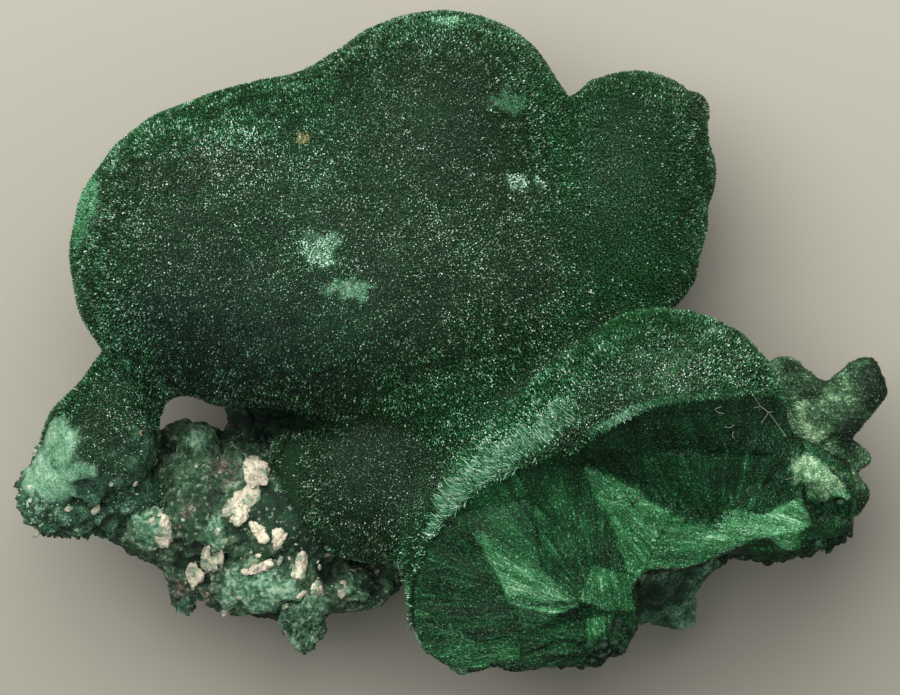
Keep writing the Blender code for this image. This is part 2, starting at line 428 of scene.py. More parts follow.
def fibreLook():
    # silky fibres on the broken faces, and duller grey ones where they are weathered, the same grey standing
    # for painted sheen on the crest dome
    look = Look("broken malachite", Roughness=0.5, Specular_IOR_Level=0.10)
    fibre = look.reading("fibre", True)
    tone = look.reading("tone")
    streak = look.noise(fibre, 5.0, 4.0, 0.62)
    bundle = look.noise(fibre, 1.1, 3.0)
    fleck = look.noise(look.place(), 5200.0)
    cloud = look.noise(look.place(), 420.0, 3.0, 0.6)
    strands = bundle.above(0.48, 0.62)
    level = tone + (streak - 0.5) * (tone * 0.9 + 0.30 + strands * 0.4)
    level = level + (bundle - 0.5) * (tone * 0.7 + 0.45)
    # painted sparkle: the brightest flecks are lifted further
    level = level + (fleck - 0.5) * 0.62 + (cloud - 0.5) * 0.55 + fleck.above(0.60, 0.70) * 0.30
    level = level + streak.above(0.56, 0.66) * (tone * 0.12 + strands * 0.10)
    silky = look.ramp(level, [
        (0.0, (0.001, 0.006, 0.002)), (0.25, (0.003, 0.026, 0.007)), (0.45, (0.009, 0.070, 0.018)),
        (0.65, (0.034, 0.165, 0.058)), (0.85, (0.130, 0.33, 0.165)), (1.0, (0.38, 0.55, 0.37)),
    ])
    dustAndSheen = look.ramp(level, [
        (0.0, (0.002, 0.006, 0.003)), (0.25, (0.014, 0.032, 0.015)), (0.45, (0.042, 0.082, 0.040)),
        (0.65, (0.105, 0.175, 0.095)), (0.85, (0.23, 0.36, 0.19)), (1.0, (0.46, 0.60, 0.36)),
    ])
    look.set("Base Color", look.mix(look.reading("dustAndSheen"), silky, dustAndSheen))
    look.bump(streak * 0.5 + fleck * 0.5, 0.0003, 0.8)
    return look.material


def rockLook():
    look = Look("green stained host rock", Roughness=0.85, Specular_IOR_Level=0.3)
    place = look.place()
    broad = look.noise(place, 260.0, 4.0, 0.65)
    middle = look.noise(place, 800.0, 4.0, 0.7)
    fine = look.noise(place, 2600.0, 3.0, 0.6)
    speck = look.noise(place, 1900.0, 3.0, 0.6)
    even = middle * 0.5 + fine * 0.5
    green = look.ramp(broad * 0.35 + middle * 0.40 + fine * 0.25, [
        (0.40, (0.003, 0.014, 0.006)), (0.47, (0.011, 0.042, 0.017)),
        (0.53, (0.036, 0.082, 0.038)), (0.60, (0.15, 0.23, 0.14)),
    ])
    mint = look.ramp(even, [
        (0.38, (0.008, 0.040, 0.017)), (0.5, (0.050, 0.132, 0.070)), (0.60, (0.20, 0.33, 0.21)),
    ])
    brown = look.ramp(even, [
        (0.36, (0.010, 0.009, 0.006)), (0.5, (0.050, 0.046, 0.032)), (0.64, (0.20, 0.18, 0.14)),
    ])
    teal = look.mix(fine.above(0.35, 0.65), (0.005, 0.030, 0.016), (0.030, 0.115, 0.065))
    deep = look.mix(middle.above(0.4, 0.65), (0.002, 0.010, 0.004), (0.006, 0.034, 0.012))
    colour = look.mix(look.reading("deep"), green, deep)
    colour = look.mix(look.reading("teal"), colour, teal)
    colour = look.mix(look.reading("mint"), colour, mint)
    colour = look.mix(look.reading("brown") * broad.above(0.42, 0.56), colour, brown)
    colour = look.mix(speck.above(0.58, 0.66) * 0.55, colour, (0.30, 0.36, 0.25))
    # painted shade: the hollows and the pits go near black
    look.set("Base Color", look.mix(look.reading("hollow"), colour, (0.003, 0.010, 0.006)))
    look.bump(even, 0.0004, 0.9)
    return look.material


def gangueLook():
    look = Look("pale gangue", Roughness=0.7, Specular_IOR_Level=0.4)
    place = look.place()
    cloud = look.noise(place, 900.0, 3.0, 0.6)
    fine = look.noise(place, 3800.0, 3.0, 0.6)
    broad = look.noise(place, 230.0, 1.0)
    cream = look.mix(cloud.above(0.38, 0.62), (0.70, 0.66, 0.49), (0.50, 0.43, 0.32))
    cream = look.mix(broad.above(0.48, 0.58) * 0.6, cream, (0.33, 0.30, 0.23))
    cream = look.mix(fine.above(0.56, 0.68) * 0.7, cream, (0.15, 0.09, 0.06))
    green = look.noise(place, 620.0, 4.0, 0.65).above(0.50, 0.60) * 0.8
    look.set("Base Color", look.mix(green, cream, (0.085, 0.19, 0.11)))
    look.bump(fine, 0.0003, 0.7)
    return look.material


def floorLook():
    # plain, with painted shade: a little darker towards the bottom of the view
    look = Look("floor", Roughness=0.9)
    shade = studio["floorShade"]
    shade = shade + (1 - shade) * look.part(look.place(), 1).above(*studio["floorFade"])
    look.set("Base Color", look.mix(1.0, studio["floorColour"], shade, "MULTIPLY"))
    return look.material


skinFinish = skinLook()
pileFinish = pileLook()
fibreFinish = fibreLook()
rockFinish = rockLook()
gangueFinish = gangueLook()


studio = {
    "cameraHeight": 1.02,
    "cameraPlace": (-0.00034, -0.00034),
    "focusHeight": 0.018,  # where one pixel of a view this wide covers pixelSize
    "pixelSize": 0.000085,
    "viewWidth": 900,
    "floorEdge": 1.5,
    "floorColour": (0.335, 0.316, 0.256),
    "floorShade": 0.64,  # how bright the painted shade leaves the floor at the near end of its fade along Y
    "floorFade": (-0.050, 0.036),
    "keyPlace": (-0.18, 0.33, 0.77),
    "keyAim": (0, 0, 0.015),
    "keySize": 0.88,
    "keyPower": 13.2,
    "skyColour": (0.95, 0.98, 1.0),
    "skyLight": 0.55,
}


def placed(name, data):
    # a new object in the scene
    thing = bpy.data.objects.new(name, data)
    bpy.context.scene.collection.objects.link(thing)
    return thing


def setCamera():
    camera = bpy.data.cameras.new("camera")
    reach = studio["cameraHeight"] - studio["focusHeight"]
    camera.sensor_width = 36.0
    camera.lens = camera.sensor_width * reach / (studio["viewWidth"] * studio["pixelSize"])
    camera.clip_start, camera.clip_end = 0.1, 10.0
    eye = placed("camera", camera)
    eye.location = (*studio["cameraPlace"], studio["cameraHeight"])
    bpy.context.scene.camera = eye


def setFloor():
    corners = studio["floorEdge"] * np.array([(-1, -1, 0), (1, -1, 0), (1, 1, 0), (-1, 1, 0)])
    mesh = meshOf("floor", corners, np.array([[0, 1, 2, 3]]))
    mesh.materials.append(floorLook())
    placed("floor", mesh)


def setLight():
    key = bpy.data.lights.new("key", "AREA")
    key.shape = "DISK"
    key.size = studio["keySize"]
    key.energy = studio["keyPower"]
    lamp = placed("key", key)
    lamp.location = studio["keyPlace"]
    away = np.array(studio["keyPlace"]) - studio["keyAim"]
    away /= np.linalg.norm(away)
    lamp.rotation_euler = (float(np.arccos(away[2])), 0, float(np.arctan2(away[1], away[0]) + np.pi / 2))

    world = bpy.data.worlds.new("studio")
    world.use_nodes = True
    sky = world.node_tree.nodes["Background"]
    sky.inputs["Color"].default_value = (*studio["skyColour"], 1)
    sky.inputs["Strength"].default_value = studio["skyLight"]
    bpy.context.scene.world = world
    bpy.context.scene.view_settings.view_transform = "Standard"


setCamera()
setFloor()
setLight()
print("camera, floor and light are set")


# each lobe: middle, radii, turn about Z in degrees, width of the valley where it joins, depth below
# its middle; the middles lie at the height of the cut, so that the walls under it stay hidden
fanLobes = {
    "rightFan": ((17.5, -8.3, 23.8), (10.9, 10.9, 8.7), 0, 1.0, 14.0),
    "rightWing": ((26.6, -13.0, 21.8), (6.9, 5.6, 4.6), -6, 2.0, 11.0),
    "wingTip": ((31.6, -14.0, 19.8), (2.5, 3.4, 2.8), 0, 1.2, 8.0),
    "paleLip": ((30.8, -11.6, 20.6), (3.0, 2.7, 3.4), -38, 1.0, 6.0),
    "bridge": ((8.2, -11.2, 23.0), (10.0, 7.4, 8.9), 44, 4.0, 14.0),
    "lowerFan": ((5.8, -18.8, 22.4), (9.4, 8.8, 9.0), 0, 3.0, 13.0),
    "lowerLeft": ((0.5, -22.6, 22.0), (4.0, 4.8, 4.5), 0, 2.0, 10.0),
    "lowerRight": ((11.2, -22.8, 22.0), (4.5, 4.5, 4.5), 0, 1.5, 10.0),
}
# flat plates that lean: corners seen from above, height of the middle, half thickness, and the
# slope towards X and Y
spray = {
    "round": 0.18,
    "swell": 0.22,
    "join": 0.5,
    "reach": 6.0,
    "palePlaces": [((27.9, -6.6), (1.6, 2.6))],
    "plates": {
        "leaf": (
            [(26.5, -2.8), (26.9, -1.8), (27.8, -1.4), (29.1, -1.8), (30.2, -2.8), (31.1, -3.9),
             (31.9, -5.8), (32.1, -7.5), (30.6, -8.3), (28.8, -7.8), (28.0, -5.2)],
            14.6, 2.6, (0.12, 0.10),
        ),
        "upright": (
            [(31.4, -3.7), (32.4, -2.8), (33.5, -2.0), (34.5, -1.4), (35.5, -1.5), (36.2, -2.3),
             (36.7, -3.5), (36.9, -4.6), (35.0, -6.5), (33.6, -8.4), (32.4, -7.4), (31.3, -5.4)],
            14.2, 2.2, (-0.08, -0.12),
        ),
        "web": (
            [(30.1, -3.0), (31.9, -3.5), (33.2, -7.0), (33.5, -8.4), (31.9, -8.0), (29.8, -7.8),
             (28.5, -5.7)],
            13.4, 2.2, (0.0, 0.0),
        ),
        "thorn": (
            [(28.9, -7.0), (32.4, -7.4), (34.3, -8.8), (35.5, -9.6), (35.2, -10.2), (33.7, -11.0),
             (31.4, -10.5), (29.6, -9.6)],
            14.2, 2.1, (-0.10, 0.05),
        ),
        "edge": (
            [(32.4, -10.6), (34.0, -10.5), (34.7, -11.8), (35.2, -12.9), (34.8, -13.9), (34.1, -14.5),
             (33.2, -13.8)],
            14.0, 2.4, (-0.15, 0.0),
        ),
    },
}
# the broken faces, in millimetres
fracture = {
    # families of corners, named A, B, C and on; None takes the height of the lobes
    "corners": {
        "rim": [(10.6, -8.7, None), (7.4, -9.6, None), (5.3, -10.5, None), (3.4, -11.5, None),
            (1.4, -12.9, None), (-0.5, -14.7, None), (-1.9, -16.8, None), (-2.9, -19.2, 26.2),
            (-3.7, -21.8, 24.4)],
        "foot": [(-3.6, -25.0, 22.6), (-2.0, -27.6, 22.4), (1.4, -28.3, 22.6), (3.3, -29.1, 22.2),
            (7.7, -29.5, 22.0), (11.6, -28.3, 22.0), (14.6, -26.2, 22.8), (15.8, -22.7, 23.6),
            (16.3, -20.1, 24.4)],
        "slot": [(1.5, -15.8, 28.7), (3.2, -18.8, 27.0), (4.8, -22.1, 25.9), (5.8, -24.5, 25.2)],
        "back": [(3.9, -16.4, 28.9), (7.4, -18.9, 28.5), (10.5, -21.6, 27.6), (15.0, -13.6, 27.0),
            (17.5, -15.9, 26.7), (20.9, -16.8, 26.3), (25.2, -16.6, 26.0), (29.2, -16.0, 25.6),
            (30.4, -15.2, 25.0)],
        "crack": [(8.7, -23.0, 26.7), (11.4, -22.0, 26.9)],
        "wall": [(10.8, -10.5, 28.6), (11.9, -13.0, 27.0), (12.9, -14.5, 26.4), (13.7, -17.1, 25.8),
            (14.6, -19.4, 25.3)],
        "dark": [(6.5, -13.1, 28.7), (9.4, -15.9, 27.3), (11.7, -18.6, 26.6)],
        "tile": [(11.0, -23.2, 25.4), (12.9, -22.7, 25.2), (13.0, -25.7, 24.6), (11.1, -26.2, 24.7)],
        "low": [(5.6, -26.5, 24.2), (8.3, -25.2, 24.8), (2.2, -25.2, 24.6)],
        "crest": [(11.6, -7.4, None), (12.8, -6.7, None), (14.6, -5.7, None), (17.1, -4.9, None),
            (20.1, -4.5, None), (22.8, -4.3, None), (25.3, -4.0, None), (27.1, -4.1, None)],
        "side": [(28.5, -4.8, 24.6), (29.2, -7.4, 23.8), (29.4, -9.6, 23.2), (29.5, -11.8, 22.8)],
        "deep": [(11.0, -10.0, 28.0), (12.6, -10.8, 26.4), (16.2, -12.7, 25.2), (19.3, -14.4, 24.5),
            (21.9, -15.1, 24.4), (26.0, -14.3, 24.2), (29.3, -13.0, 23.0)],
        "hollow": [(15.8, -9.2, 27.4), (19.6, -9.2, 27.2), (23.9, -8.9, 26.6), (27.0, -9.5, 24.8)],
        "shelf": [(15.9, -19.7, 25.2), (19.9, -19.6, 24.6), (24.3, -19.8, 24.2), (27.9, -19.3, 23.6),
            (29.9, -18.9, 22.8)],
        "hump": [(24.0, -13.8, 25.4)],
        "pale": [(29.5, -9.1, 22.6), (30.8, -9.6, 23.2), (33.1, -11.8, 23.2), (33.8, -13.3, 22.6),
            (32.1, -14.0, 21.0), (29.9, -13.1, 21.4)],
        "tip": [(31.3, -14.3, 20.6), (33.3, -14.6, 21.4), (34.5, -16.0, 20.8), (32.4, -18.4, 21.4)],
    },
    # where the fibres spread from
    "hearts": {
        "lowerHeart": (12.6, -23.0),
        "footHeart": (12.4, -25.2),
        "tileHeart": (10.7, -8.2),
        "bandHeart": (7.7, -8.0),
        "shelfHeart": (35.0, -17.4),
        "domeHeart": (22.8, -19.7),
    },
    # each face: its corners, where rimC:A is rimC, rimB and rimA, its heart and its tone; the tones are
    # partly the stone's own green and partly painted sheen and shade of each facet
    "faces": {
        "leftFace": ("rimF:I lowC slotD:A", "lowerHeart", 0.17),
        "leftFan": ("rimI footA:D lowA slotD lowC", "footHeart", 0.33),
        "brightFace": ("slotA backA:C crackB:A slotC:B", "lowerHeart", 0.55),
        "upperFace": ("rimF:C darkA backB:A slotA", "lowerHeart", 0.29),
        "darkFace": ("rimC:A wallA:B darkB:A", "lowerHeart", 0.2),
        "darkFaceLow": ("darkA:B wallB:E darkC backC:B", "lowerHeart", 0.22),
        "rightStrip": ("backC darkC wallE footI:H tileB crackB", "tileHeart", 0.42),
        "tile": ("tileA:D", "tileHeart", 0.43),
        "tileSide": ("tileB footH:G tileC", "tileHeart", 0.46),
        "lowFace": ("slotC crackA:B tileB:A lowB:A slotD", "footHeart", 0.24),
        "bottomFace": ("lowA:B tileA tileD:C footG:D", "footHeart", 0.21),
        "band": ("wallA deepA:C backD wallC:B", "bandHeart", 0.6),
        "bandLow": ("wallC backD:E shelfA footI wallE:D", "bandHeart", 0.5),
        "shelfUp": ("backD deepC:E backF:E", "shelfHeart", 0.46),
        "shelfRight": ("deepE humpA deepF:G backI:F", "shelfHeart", 0.62),
        "shelfDown": ("backE:H shelfE:A", "shelfHeart", 0.5),
        "crestLeft": ("rimA crestA:C hollowA deepC:A wallA", "domeHeart", 0.1),
        "crestMid": ("crestC:F hollowC:A", "domeHeart", 0.12),
        "crestRight": ("crestF:H sideA:C hollowD:C", "domeHeart", 0.14),
        "hollowLeft": ("hollowA:B deepE:C", "domeHeart", 0.14),
        "hollowRight": ("hollowB:D sideC:D deepG:F humpA deepE", "domeHeart", 0.16),
        "paleFace": ("sideD:C paleA:F", "shelfHeart", 0.66),
        "paleSide": ("deepG sideD paleF tipA backI", "shelfHeart", 0.34),
        "tipFace": ("paleF:D tipB:A", "shelfHeart", 0.08),
        "tipLow": ("backI tipA:D shelfE backH", "shelfHeart", 0.26),
    },
    "rim": "footA rimI:A crestA:H sideA",
    "bareTone": 0.3,  # the tone of what lies outside every face
    "bareHearts": ("footHeart", "shelfHeart"),  # and its hearts, left and right of bareSplit
    "bareSplit": 16.5,
    "steps": (150, 76),
    "reach": 2.0,
    "grain": 0.214,
    "low": (-5.0, -31.0),  # the sheet of heights runs from low to high in steps of a cell
    "high": (37.0, 1.0),
    "cell": 0.06,
    "wallSlope": 2.6,  # how steeply the sheet rises past the rim, and past the lower outline
    "bareSlope": 0.05,
    "blur": 3,
    "fibreRelief": 0.085,
    "stepRelief": 0.22,
    # dark crumbly edges, and at (31.6, -13.4) painted shade in a recess
    "darkEdges": [((12.8, -26.3), (2.1, 1.3)), ((3.9, -27.9), (2.2, 0.9)), ((7.7, -28.8), (1.8, 0.8)),
                  ((31.6, -17.4), (2.6, 1.0)), ((31.6, -13.4), (1.9, 0.5)), ((14.4, -24.0), (0.9, 1.2))],
    "palePlaces": [((31.2, -11.6), (2.1, 1.5)), ((29.9, -10.3), (1.2, 1.3))],
    "cracks": [((9.2, -22.85), (0.6, 0.22)), ((10.1, -22.5), (0.6, 0.26)), ((11.0, -22.1), (0.6, 0.22))],
}


def onSheet(places):
    # a place in millimetres as a place on the sheet, in cells
    return (places - np.array(fracture["low"])) / fracture["cell"]


def lobeTop(x, y):
    # the highest point of the fans above a place, walked down from over them
    spot = np.array([[x, y, 36.0]])
    for _ in range(120):
        spot[0, 2] -= max(0.6 * joinedLobes(spot, fanLobes)[0], 0.004)
    return spot[0, 2]


def allCorners():
    # the first corner of the family rim is rimA, and so on
    spots = {}
    for family, places in fracture["corners"].items():
        for letter, (x, y, z) in zip("ABCDEFGHI", places):
            spots[family + letter] = np.array([x, y, lobeTop(x, y) if z is None else z])
    return spots


def cornersNamed(words):
    # rimC:A in the words means rimC, rimB and rimA
    names = []
    for word in words.split():
        first, _, last = word.partition(":")
        start, stop = ord(first[-1]), ord(last or first[-1])
        turn = 1 if start <= stop else -1
        names += [first[:-1] + chr(letter) for letter in range(start, stop + turn, turn)]
    return [spots[name] for name in names]


spots = allCorners()
rimPlaces = np.array(cornersNamed(fracture["rim"]))[:, :2]
rimPlaces = rimPlaces[np.argsort(rimPlaces[:, 0])]


def velvetSide(x, y):
    # whether a place lies behind the rim, where the velvet skin is whole
    return (y > np.interp(x, *rimPlaces.T)) & (x < rimPlaces[-1, 0] + 0.3)


def cross(a, b):
    # twice the area that two ways span, seen from above
    return a[..., 0] * b[..., 1] - a[..., 1] * b[..., 0]


def makeSheets():
    # heights, tones and hearts of the broken faces over a flat sheet of cells: inside each flat
    # triangle the height is the even blend of its corners' heights
    size = np.ceil(onSheet(np.array(fracture["high"]))).astype(int)
    heights = np.full((size[1], size[0]), np.nan)
    tones = np.full_like(heights, fracture["bareTone"])
    hearts = np.zeros((*heights.shape, 2))
    zones = np.zeros_like(heights)
    for number, (names, heart, tone) in enumerate(fracture["faces"].values()):
        ring = cornersNamed(names)
        for corners in tessellate_polygon([[Vector(spot[:2]).to_3d() for spot in ring]]):
            a, b, c = (ring[k] for k in corners)
            whole = cross(b - a, c - a)
            if abs(whole) < 1e-9:
                continue
            low = np.floor(onSheet(np.minimum(np.minimum(a, b), c)[:2])).astype(int)
            high = np.ceil(onSheet(np.maximum(np.maximum(a, b), c)[:2])).astype(int) + 1
            gx, gy = np.meshgrid(np.arange(low[0], high[0]), np.arange(low[1], high[1]))
            away = np.stack([gx, gy], -1) * fracture["cell"] + fracture["low"] - a[:2]
            v = cross(away, c - a) / whole
            w = cross(b - a, away) / whole
            inside = (v > -0.01) & (w > -0.01) & (v + w < 1.01)
            cells = gy[inside], gx[inside]
            heights[cells] = (a[2] + v * (b[2] - a[2]) + w * (c[2] - a[2]))[inside]
            tones[cells] = tone
            hearts[cells] = fracture["hearts"][heart]
            zones[cells] = number
    return heights, tones, hearts, zones


def spread(values, known, rise, times):
    # cells with nothing in them take their lowest neighbour plus a rise, ring after ring
    filled = np.where(known, values, 1e3)
    for _ in range(times):
        near = filled.copy()
        near[1:] = np.minimum(near[1:], filled[:-1] + rise[1:])
        near[:-1] = np.minimum(near[:-1], filled[1:] + rise[:-1])
        near[:, 1:] = np.minimum(near[:, 1:], filled[:, :-1] + rise[:, 1:])
        near[:, :-1] = np.minimum(near[:, :-1], filled[:, 1:] + rise[:, :-1])
        filled = np.where(known, values, near)
    return filled


def blurred(sheet, times):
    for _ in range(times):
        edged = np.pad(sheet, 1, mode="edge")
        sheet = (edged[:-2, 1:-1] + edged[2:, 1:-1] + edged[1:-1, :-2] + edged[1:-1, 2:] + 2 * sheet) / 6
    return sheet


heights, tones, hearts, zones = makeSheets()
gridY, gridX = np.mgrid[0 : heights.shape[0], 0 : heights.shape[1]]
flat = np.stack([gridX, gridY], -1) * fracture["cell"] + np.array(fracture["low"])
known = ~np.isnan(heights)
velvet = velvetSide(flat[..., 0], flat[..., 1])
rise = np.where(velvet, fracture["wallSlope"], fracture["bareSlope"]) * fracture["cell"]
heights = np.minimum(spread(heights, known, rise, 90), 60.0)
left, right = (fracture["hearts"][heart] for heart in fracture["bareHearts"])
bareHearts = np.where(flat[..., :1] < fracture["bareSplit"], left, right)
hearts = np.where((hearts**2).sum(-1, keepdims=True) == 0, bareHearts, hearts)
broken = known | ~velvet
toHeart = flat - hearts
heartGap = np.sqrt((toHeart**2).sum(-1))
angle = np.arctan2(toHeart[..., 1], toHeart[..., 0]) + 2.0
main = np.arctan2(np.sin(angle), np.cos(angle))  # the angle jumps only where there is no face
fibreSheet = np.stack([main * 9.0, heartGap * 0.07, zones * 7.0], -1)
threads = fibreSheet.reshape(-1, 3)
fine = threads * [1, 3, 1]
relief = fracture["fibreRelief"] * (softNoise(fine, 0.42, 71) + softNoise(fine, 0.9, 72))
broad = layeredNoise(threads * [1, 4, 1], 2.4, 2, 75)
relief = relief + fracture["stepRelief"] * (np.round(broad * 3) / 3 + 0.5 * broad)
relief = relief.reshape(heights.shape)
heights = blurred(heights, fracture["blur"]) + blurred(np.where(broken, relief, 0.0), 1)
faceTones = blurred(tones, 5)


def sheetAt(sheet, points):
    # the even blend of the four cells round each place
    spot = onSheet(points[:, :2])
    top = np.array([sheet.shape[1], sheet.shape[0]]) - 1.001
    spot = np.clip(spot, 0, top)
    low = np.floor(spot).astype(int)
    u, v = (spot - low).T
    x, y = low.T
    near = sheet[y, x] * (1 - u) + sheet[y, x + 1] * u
    far = sheet[y + 1, x] * (1 - u) + sheet[y + 1, x + 1] * u
    return near * (1 - v) + far * v


def nearestCell(points):
    spot = np.round(onSheet(points[:, :2])).astype(int)
    spot = np.clip(spot, 0, np.array(heights.shape[::-1]) - 1)
    return spot[:, 1], spot[:, 0]


def sidesOf(corners):
    # the middle of an outline, the outward way of each of its sides, and how far out each side is
    corners = np.array(corners, float)
    middle = corners.mean(0)
    edge = np.roll(corners, -1, 0) - corners
    out = np.stack([edge[:, 1], -edge[:, 0]], 1) / np.sqrt((edge**2).sum(1))[:, None]
    far = ((corners - middle) * out).sum(1)
    return middle, out * np.sign(far)[:, None], np.abs(far)


def plateDistance(points, plate):
    # the furthest out of its straight sides and its two flat faces: w ln(sum of exp(distance / w))
    corners, height, half, slope = plate
    middle, out, far = sidesOf(corners)
    away = points[:, :2] - middle
    above = points[:, 2] - height - away @ np.array(slope)
    sides = np.column_stack([away @ out.T - far, np.abs(above) - half]) / spray["round"]
    return spray["round"] * np.log(np.exp(np.minimum(sides, 300)).sum(1)) - spray["swell"]


def sprayField(points):
    distance = None
    for plate in spray["plates"].values():
        own = plateDistance(points, plate)
        distance = own if distance is None else softJoin(distance, own, spray["join"])
    return distance


def fanField(points):
    cut = points[:, 2] - sheetAt(heights, points)
    fans = softCut(joinedLobes(points, fanLobes), cut * 0.8, 0.15)
    return softJoin(fans, sprayField(points), 0.5)


# each lobe: middle, radii, turn about Z in degrees, width of the valley where it joins
upperLobes = {
    "armCorner": ((-25.3, -4.1, 18.0), (1.1, 1.1, 2.6), 0, 1.0),
    "leftDome": ((-21.1, 7.7, 21.5), (11.1, 12.0, 11.0), 0, 4.0),
    "shoulder": ((-12.5, 12.2, 20.5), (11.5, 10.3, 10.6), 14, 5.0),
    "crown": ((-1.1, 17.4, 19.5), (10.6, 10.6, 10.6), 0, 4.0),
    "middleDome": ((-5.0, 5.0, 20.5), (15.5, 12.2, 12.6), 8, 5.0),
    "lowLeft": ((-13.0, 1.9, 21.0), (11.3, 7.8, 10.5), -4, 4.0),
    "saddle": ((8.0, 6.4, 18.0), (8.4, 9.0, 9.8), 0, 5.0),
    "rightDome": ((14.0, 11.6, 15.5), (7.1, 10.2, 9.0), 2, 3.0),
    "rightKnob": ((16.2, 17.6, 14.5), (4.9, 5.0, 6.0), 0, 3.0),
    "knobEdge": ((20.4, 19.8, 13.0), (1.1, 1.3, 2.0), 0, 0.8),
    "knobBack": ((12.4, 20.7, 12.0), (1.5, 1.6, 2.5), 0, 0.8),
    "sideBump": ((19.9, 14.4, 14.0), (2.0, 2.4, 4.0), 0, 1.5),
    "neck": ((0.5, -4.5, 18.0), (8.0, 7.0, 8.6), 0, 4.5),
    "lowerDome": ((-6.4, -10.6, 17.6), (9.2, 7.8, 8.6), -6, 3.0),
    "arm": ((-28.4, -3.8, 18.5), (2.5, 4.0, 3.8), -30, 1.6),
    "foot": ((-30.2, -9.0, 17.5), (4.7, 5.6, 6.2), -24, 2.0),
    "footLow": ((-33.2, -12.6, 16.5), (3.8, 3.7, 4.6), 0, 1.4),
    "footLip": ((-27.6, -14.0, 15.5), (4.0, 2.8, 4.0), 0, 1.4),
}
rootLobes = {
    "root": ((-2.6, -1.4, 8.5), (17.0, 13.0, 11.5), 0, 1.0),
    "rightRoot": ((14.0, -8.4, 8.5), (11.0, 9.0, 10.0), 0, 3.0),
    "lowerRoot": ((16.4, -19.0, 9.5), (4.8, 4.4, 5.4), 0, 1.5),
    "rootStep": ((20.4, -18.2, 9.0), (3.2, 2.2, 4.0), 0, 1.0),
    "smallKnob": ((18.6, -22.4, 9.0), (1.5, 1.6, 2.6), 0, 0.6),
    "fanBack": ((3.4, -23.4, 12.0), (5.0, 3.6, 6.0), 0, 1.0),
    "backKnob": ((6.0, 10.0, 10.5), (8.0, 7.5, 7.5), 0, 2.0),
    "leftBack": ((-16.5, 8.0, 13.0), (7.5, 8.0, 7.5), 0, 2.0),
}
mass = {
    "steps": (72, 37),
    "reach": 3.0,
    "grain": 0.345,
    "fanInset": (-0.35, 0.75),  # at the flank, and behind the spiked rim
    "fanDepth": 1.6,
    "fanBlend": 3.2,
    "rootTop": 8.5,  # below this the growth is its own broken root, with no pile
    # what is cut out under the lip of the domes and over the small hole beside the arm
    "gap": ((-15.6, -6.5, 23.0), (5.8, 1.5, 10.0), -5),
    "gapBlend": 1.2,
    "notch": ((-22.6, -5.5, 20.0), (2.5, 1.6, 10.0), 0),
    "notchBlend": 0.5,
    # where the skin is a pale crust, where it is worn rough and dark, and where it is smooth and dark
    "crustPlaces": [((-34.5, -10.8), (2.5, 2.7)), ((-33.3, -8.9), (1.6, 2.4)), ((-32.2, -10.9), (1.9, 1.0))],
    "wornPlaces": [((-26.3, -11.0), (2.1, 3.4)), ((-28.6, -13.8), (2.6, 1.7))],
    "smoothPlaces": [((-13.9, -12.6), (1.5, 4.4)), ((-11.4, -16.6), (3.4, 1.5))],
    # painted shade: where the bare skin is darkened in the gap under the lip of the domes
    "shadedGapPlaces": [((-14.0, -6.6), (6.8, 2.2))],
    # where the pile is rubbed pale: place, reach, paleness
    "rubbedPlaces": [
        ((-11.2, 7.8), (1.25, 1.0), 0.94), ((-8.8, 4.4), (1.4, 0.7), 0.68), ((5.8, 13.4), (1.2, 0.6), 0.97),
        ((4.8, 20.3), (1.4, 0.7), 0.58), ((-0.6, 27.0), (1.0, 0.4), 0.80), ((-30.7, 12.4), (0.8, 2.0), 0.70),
        ((-31.2, 9.6), (0.6, 1.2), 0.60),
    ],
}


def softFloor(points, distance):
    return np.maximum(distance, -points[:, 2])


def massField(points):
    # the lobes, and a shrunken copy of the fans inside their skin, so that the neck flows up to them
    whole = softJoin(joinedLobes(points, upperLobes), joinedLobes(points, rootLobes), 1.0)
    whole = softCut(whole, -lobeDistance(points, mass["gap"]), mass["gapBlend"])
    whole = softCut(whole, -lobeDistance(points, mass["notch"]), mass["notchBlend"])
    cut = points[:, 2] - sheetAt(heights, points) + mass["fanDepth"]
    low, high = mass["fanInset"]
    inset = low + (high - low) * easeBetween(-14.5, -10.5, points[:, 1])
    inner = softCut(joinedLobes(points, fanLobes) + inset, cut, 0.3)
    return softFloor(points, softJoin(whole, inner, mass["fanBlend"]))


def patchShare(points, places, blur=0.3, wild=0.40, grain=1.3):
    # the highest of soft ragged ovals seen from above
    share = np.zeros(len(points))
    ragged = wild * layeredNoise(points, grain, 3, 61, 0.6)
    for middle, reach in places:
        away = np.sqrt((((points[:, :2] - middle) / reach) ** 2).sum(1)) + ragged
        share = np.maximum(share, 1 - easeBetween(1.0 - blur, 1.0 + blur, away))
    return share


def skinOf(shells, field, grain, rounds):
    # one settled skin: its points, its faces and the outward ways of its points
    points, faces = oneSkin(shells, grain * coarse)
    points = settled(points, field, rounds)
    return points, faces, outwardOf(points, field)


def raisedBy(points, ways, lift):
    # the skin moved outward, but never through the ground
    points = points + ways * lift[:, None]
    points[:, 2] = np.maximum(points[:, 2], 0.0)
    return points


